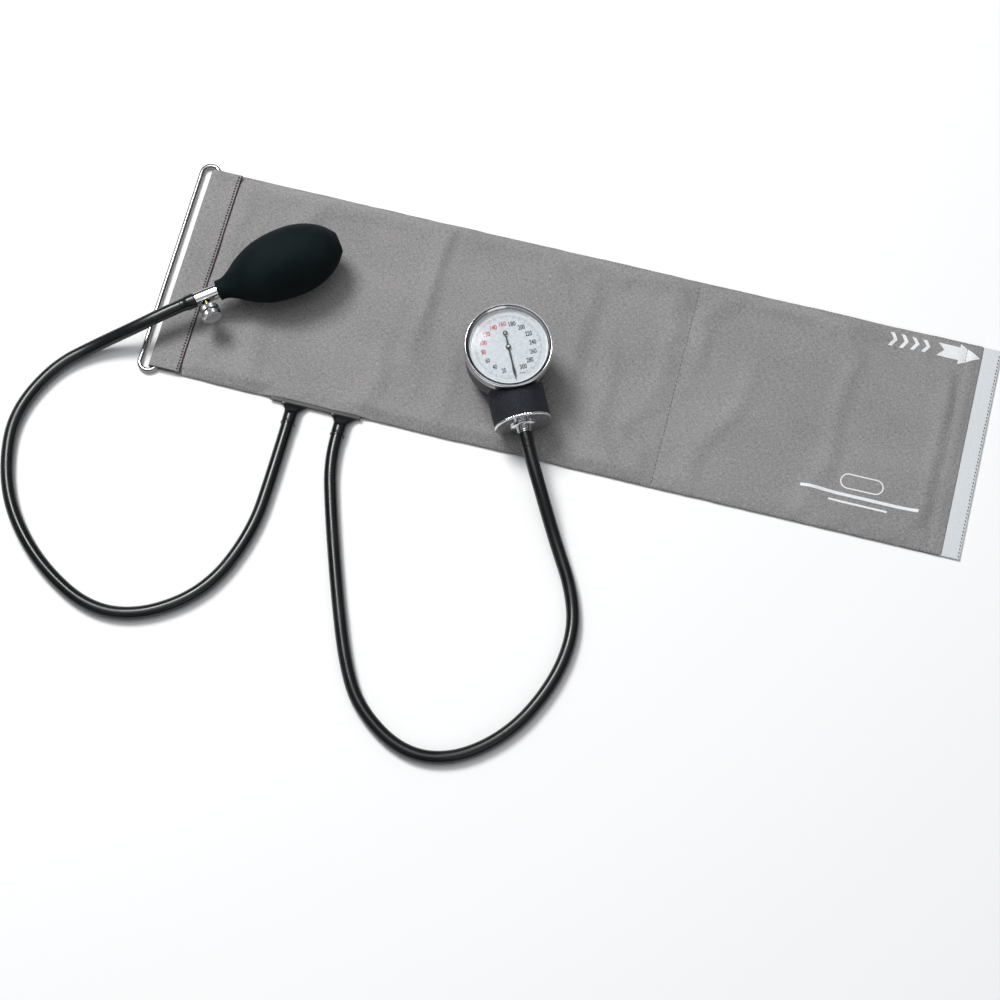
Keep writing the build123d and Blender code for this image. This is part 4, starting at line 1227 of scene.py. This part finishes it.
def make_bulb():
    """A moulded rubber egg with an open neck and a flat tail with the inlet in it."""
    line = smooth_curve(BULB_PROFILE, 9)
    extra = [(MOULD_LINE + d, np.interp(MOULD_LINE + d, line[:, 0], line[:, 1])) for d in
             (-0.9, -0.6, -0.4, -0.2, 0, 0.2, 0.4, 0.6, 0.9)]
    rows = sorted([tuple(p) for p in line if abs(p[0] - MOULD_LINE) > 1.0] + extra)
    end = BULB_LENGTH
    profile = [(10.0, BULB_BORE_START), (0.0, BULB_BORE_START), *rows, (end - 0.15, 6.2), (end, 5.6),
               (end, TAIL_BORE_END), (end - 10, TAIL_BORE_END)]
    wall = [(69.0, 11.0), (61.5, 16.9), (47.0, 19.2), (30.0, 17.2), (17.5, 11.2)]
    piece = lathe("bulb_skin", in_mm(profile + wall), BULB, "bulb_rubber", 144, closed=True, wave=bulb_wave)
    belongs(piece, "black_rubber", "cuff", "bulb_shell")


KNOB_START = 9.1
KNOB_TEETH = 44


def knob_wave(along, radius, turn):
    """Fine straight knurling on the two bands."""
    if radius < 5.85 * MM:
        return radius
    tooth = abs(((turn * KNOB_TEETH / (2 * math.pi)) % 1) * 2 - 1)
    return radius - 0.16 * MM * tooth


def make_knob():
    """A release knob with two knurled bands, a groove between them and a slightly hollow end."""
    profile = [(0.0, 1.58), (0.0, 4.9), (0.3, 5.45), (0.75, 6.0), (3.35, 6.0), (3.5, 5.5), (3.55, 4.6),
               (4.5, 4.6), (4.55, 5.5), (4.7, 6.0), (7.35, 6.0), (7.75, 5.5), (8.0, 4.9), (7.92, 4.3),
               (7.8, 3.0), (7.78, 0.0)]
    bore = [(6.75, 0.0), (6.75, 1.58)]
    outline = in_mm([(a + KNOB_START, r) for a, r in bore + profile])
    place = turned_axis(SCREW, (0, 0, 1))
    piece = lathe("knob_skin", outline, place, "knurled", KNOB_TEETH * 4, wave=knob_wave)
    belongs(piece, "knurled_knob", "knob", "release_knob")


# ---- gauge ----
def gauge_lathe(name, profile, material, slot, node, segments, axis=(0, 0, 1), wave=None):
    """A closed ring turned about one of the gauge's axes."""
    piece = lathe(name, in_mm(profile), turned_axis(GAUGE, axis), material, segments, True, wave)
    belongs(piece, slot, "cuff", node)


def make_bezel():
    """The bright rim: a skirt with a rolled lower edge and a rounded lip that turns in over the glass."""
    lip = [(18.2, 26.7), (19.2, 26.62), (19.9, 26.35), (20.25, 25.95), (20.22, 25.6), (19.9, 25.3),
           (19.45, 24.8), (19.1, 24.3), (18.75, 23.85), (18.58, 23.75)]
    lip = [tuple(p) for p in smooth_curve(lip, 4)]
    profile = [(17.15, 25.08), (12.0, 25.08), (11.75, 25.5), (11.8, 26.2), (12.15, 26.62), (12.7, 26.7),
               (13.2, 26.62), (13.5, 26.55), *lip, (18.52, 23.75), (18.52, 25.28), (17.2, 25.28)]
    gauge_lathe("bezel_skin", profile, "chrome", "chrome", "bezel", 160)


def make_dial_ring():
    """The satin ring that spaces the glass from the dial and slopes down to it."""
    profile = [(16.05, 24.2), (17.3, 24.2), (17.35, 23.9), (17.2, 23.5), (16.4, 22.75), (16.05, 22.55)]
    gauge_lathe("dial_ring", profile, "satin_ring", "gasket_rubber", "lens_gasket", 160)


DRUM_END = 42.7


def rim_wave(along, radius, turn):
    """Small beads round the base plate's edge."""
    if radius < 17.2 * MM:
        return radius
    return radius - 0.22 * MM * max(0.0, math.cos(turn * 56)) ** 2


def nut_wave(along, radius, turn):
    """Fourteen gentle flats round the nut."""
    if radius < 7 * MM:
        return radius
    return radius - 0.28 * MM * abs(math.sin(turn * 7))


def make_base():
    """The drum's plated base with a beaded rim, and the stepped nut in its middle."""
    plate = [(0.05, 1.62), (0.05, 16.9), (0.2, 17.35), (0.7, 17.5), (1.2, 17.45), (1.5, 17.1), (1.6, 16.4),
             (1.45, 15.6), (1.55, 12.0), (1.7, 9.0), (1.7, 1.62)]
    plate = [(a + DRUM_END, r) for a, r in plate]
    gauge_lathe("base_plate_skin", plate, "chrome", "chrome", "base_plate", 224, (0, -1, 0), rim_wave)
    nut = [(1.77, 1.62), (1.77, 7.6), (2.0, 7.9), (2.7, 7.9), (3.0, 7.5), (3.1, 6.4), (3.36, 6.2),
           (3.36, 1.62)]
    nut = [(a + DRUM_END, r) for a, r in nut]
    gauge_lathe("base_nut_skin", nut, "chrome", "chrome", "base_nut", 168, (0, -1, 0), nut_wave)


def dial_text(words, x, y, width, height):
    """Flat lettering on the dial as a mesh of the given width and height, centred at a place."""
    curve = bpy.data.curves.new("words", "FONT")
    curve.body = words
    curve.extrude = 0.005
    curve.offset = 0.024
    curve.resolution_u = 4
    item = bpy.data.objects.new("words", curve)
    mesh = bpy.data.meshes.new_from_object(item)
    bpy.data.objects.remove(item)
    low = [min(v.co[i] for v in mesh.vertices) for i in range(3)]
    high = [max(v.co[i] for v in mesh.vertices) for i in range(3)]
    stretch = (width / (high[0] - low[0]), height / (high[1] - low[1]), 0.04 * MM / (high[2] - low[2]))
    middle = Vector([(a + b) / 2 for a, b in zip(low, high)])
    move = Matrix.Translation((x, y, DIAL_TOP)) @ Matrix.Diagonal((*stretch, 1))
    mesh.transform(move @ Matrix.Translation(-middle))
    return mesh


def dial_bars(bars):
    """Small ticks on the dial: (angle, inner radius, outer radius, width)."""
    work = bmesh.new()
    for angle, inner, outer, width in bars:
        turn = Matrix.Rotation(-angle, 4, "Z")
        corners = [(-width / 2, -inner), (width / 2, -inner), (width / 2, -outer), (-width / 2, -outer)]
        lower = [work.verts.new(turn @ Vector((x, y, DIAL_TOP - 0.02 * MM))) for x, y in corners]
        upper = [work.verts.new(turn @ Vector((x, y, DIAL_TOP + 0.02 * MM))) for x, y in corners]
        work.faces.new(lower[::-1])
        work.faces.new(upper)
        for i in range(4):
            j = (i + 1) % 4
            work.faces.new((lower[i], lower[j], upper[j], upper[i]))
    mesh = bpy.data.meshes.new("bars")
    work.to_mesh(mesh)
    work.free()
    return mesh


def join_on_dial(name, meshes, material):
    work = bmesh.new()
    for mesh in meshes:
        work.from_mesh(mesh)
    joined = bpy.data.meshes.new(name)
    work.to_mesh(joined)
    work.free()
    joined.transform(GAUGE)
    joined.materials.clear()
    joined.materials.append(looks[material])
    outward(belongs(placed(name, joined), "pointer_black", "cuff"))


DIAL_TOP = 16.03 * MM
SCALE_STEP = math.radians(336 / 300)
RED_FROM, RED_TO = 80, 160


def make_dial():
    """Numbers every twenty and ticks every two, clockwise from zero at the bottom."""
    black, red, ticks, red_ticks = [], [], [], []
    for value in range(20, 301, 20):
        angle = value * SCALE_STEP
        x, y = -15.1 * MM * math.sin(angle), -15.1 * MM * math.cos(angle)
        group = red if RED_FROM <= value <= RED_TO else black
        width = 4.15 * MM if value >= 100 else 2.7 * MM
        group.append(dial_text(str(value), x, y, width, 3.1 * MM))
    for value in range(0, 301, 2):
        long_tick = value % 10 == 0
        inner = 18.0 * MM if value % 20 == 0 else 18.4 * MM if long_tick else 19.2 * MM
        width = 0.2 * MM if long_tick else 0.12 * MM
        bars = red_ticks if RED_FROM <= value <= RED_TO else ticks
        bars.append((value * SCALE_STEP, inner, 20.2 * MM, width))
    black.append(dial_text("mmHg", 4.9 * MM, -17.6 * MM, 3.4 * MM, 1.3 * MM))
    join_on_dial("dial_numbers", black, "ink_black")
    join_on_dial("dial_red_numbers", red, "ink_red")
    join_on_dial("dial_ticks", [dial_bars(ticks)], "ink_grey")
    join_on_dial("dial_red_ticks", [dial_bars(red_ticks)], "ink_red")


# ---- materials of the CAD pieces that stay ----
KEPT = {
    "bladder_rubber": ["bladder"],
    "ring_wire": ["d_ring"],
    "chrome": ["inlet_valve_body"],
    "valve_chrome": ["release_valve_body", "hose_nozzle"],
    "steel": ["inlet_ball", "outlet_ball", "pinion_arbor", "sector_arbor", "movement_screws", "back_screws",
              "push_rod"],
    "brass": ["inlet_ball_retainer", "outlet_ball_retainer", "release_needle", "pointer_hub", "sector_gear",
              "movement_top_plate", "movement_bottom_plate", "movement_pillars", "movement_posts",
              "hairspring", "hairspring_stud", "capsule", "capsule_stem"],
    "gasket_rubber": ["stem_o_ring"],
    "black_paint": ["gauge_case", "drum_housing"],
    "leatherette": ["leatherette_sleeve"],
    "clear_glass": ["gauge_lens"],
    "dial_white": ["dial_plate"],
    "pointer_black": ["pointer"],
}


def dress_cad():
    for material, names in KEPT.items():
        for name in names:
            node = frame["nodes"][name]
            node.data.materials.clear()
            node.data.materials.append(looks[material])


looks = make_materials()
make_camera()
make_hoses()
make_lights()
make_floor()
dress_cad()
make_loop_patch()
inner_cloth = make_inner_cloth()
outer_cloth = make_outer_cloth()
sleeve_cloth = make_sleeve()
end_tape = make_end_tape()
make_hooks()
make_hook_tape()
make_sewing(inner_cloth, sleeve_cloth, end_tape)
blend_over_fold(inner_cloth)
blend_over_fold(outer_cloth)
make_bulb()
make_knob()
make_bezel()
make_dial_ring()
make_base()
make_dial()
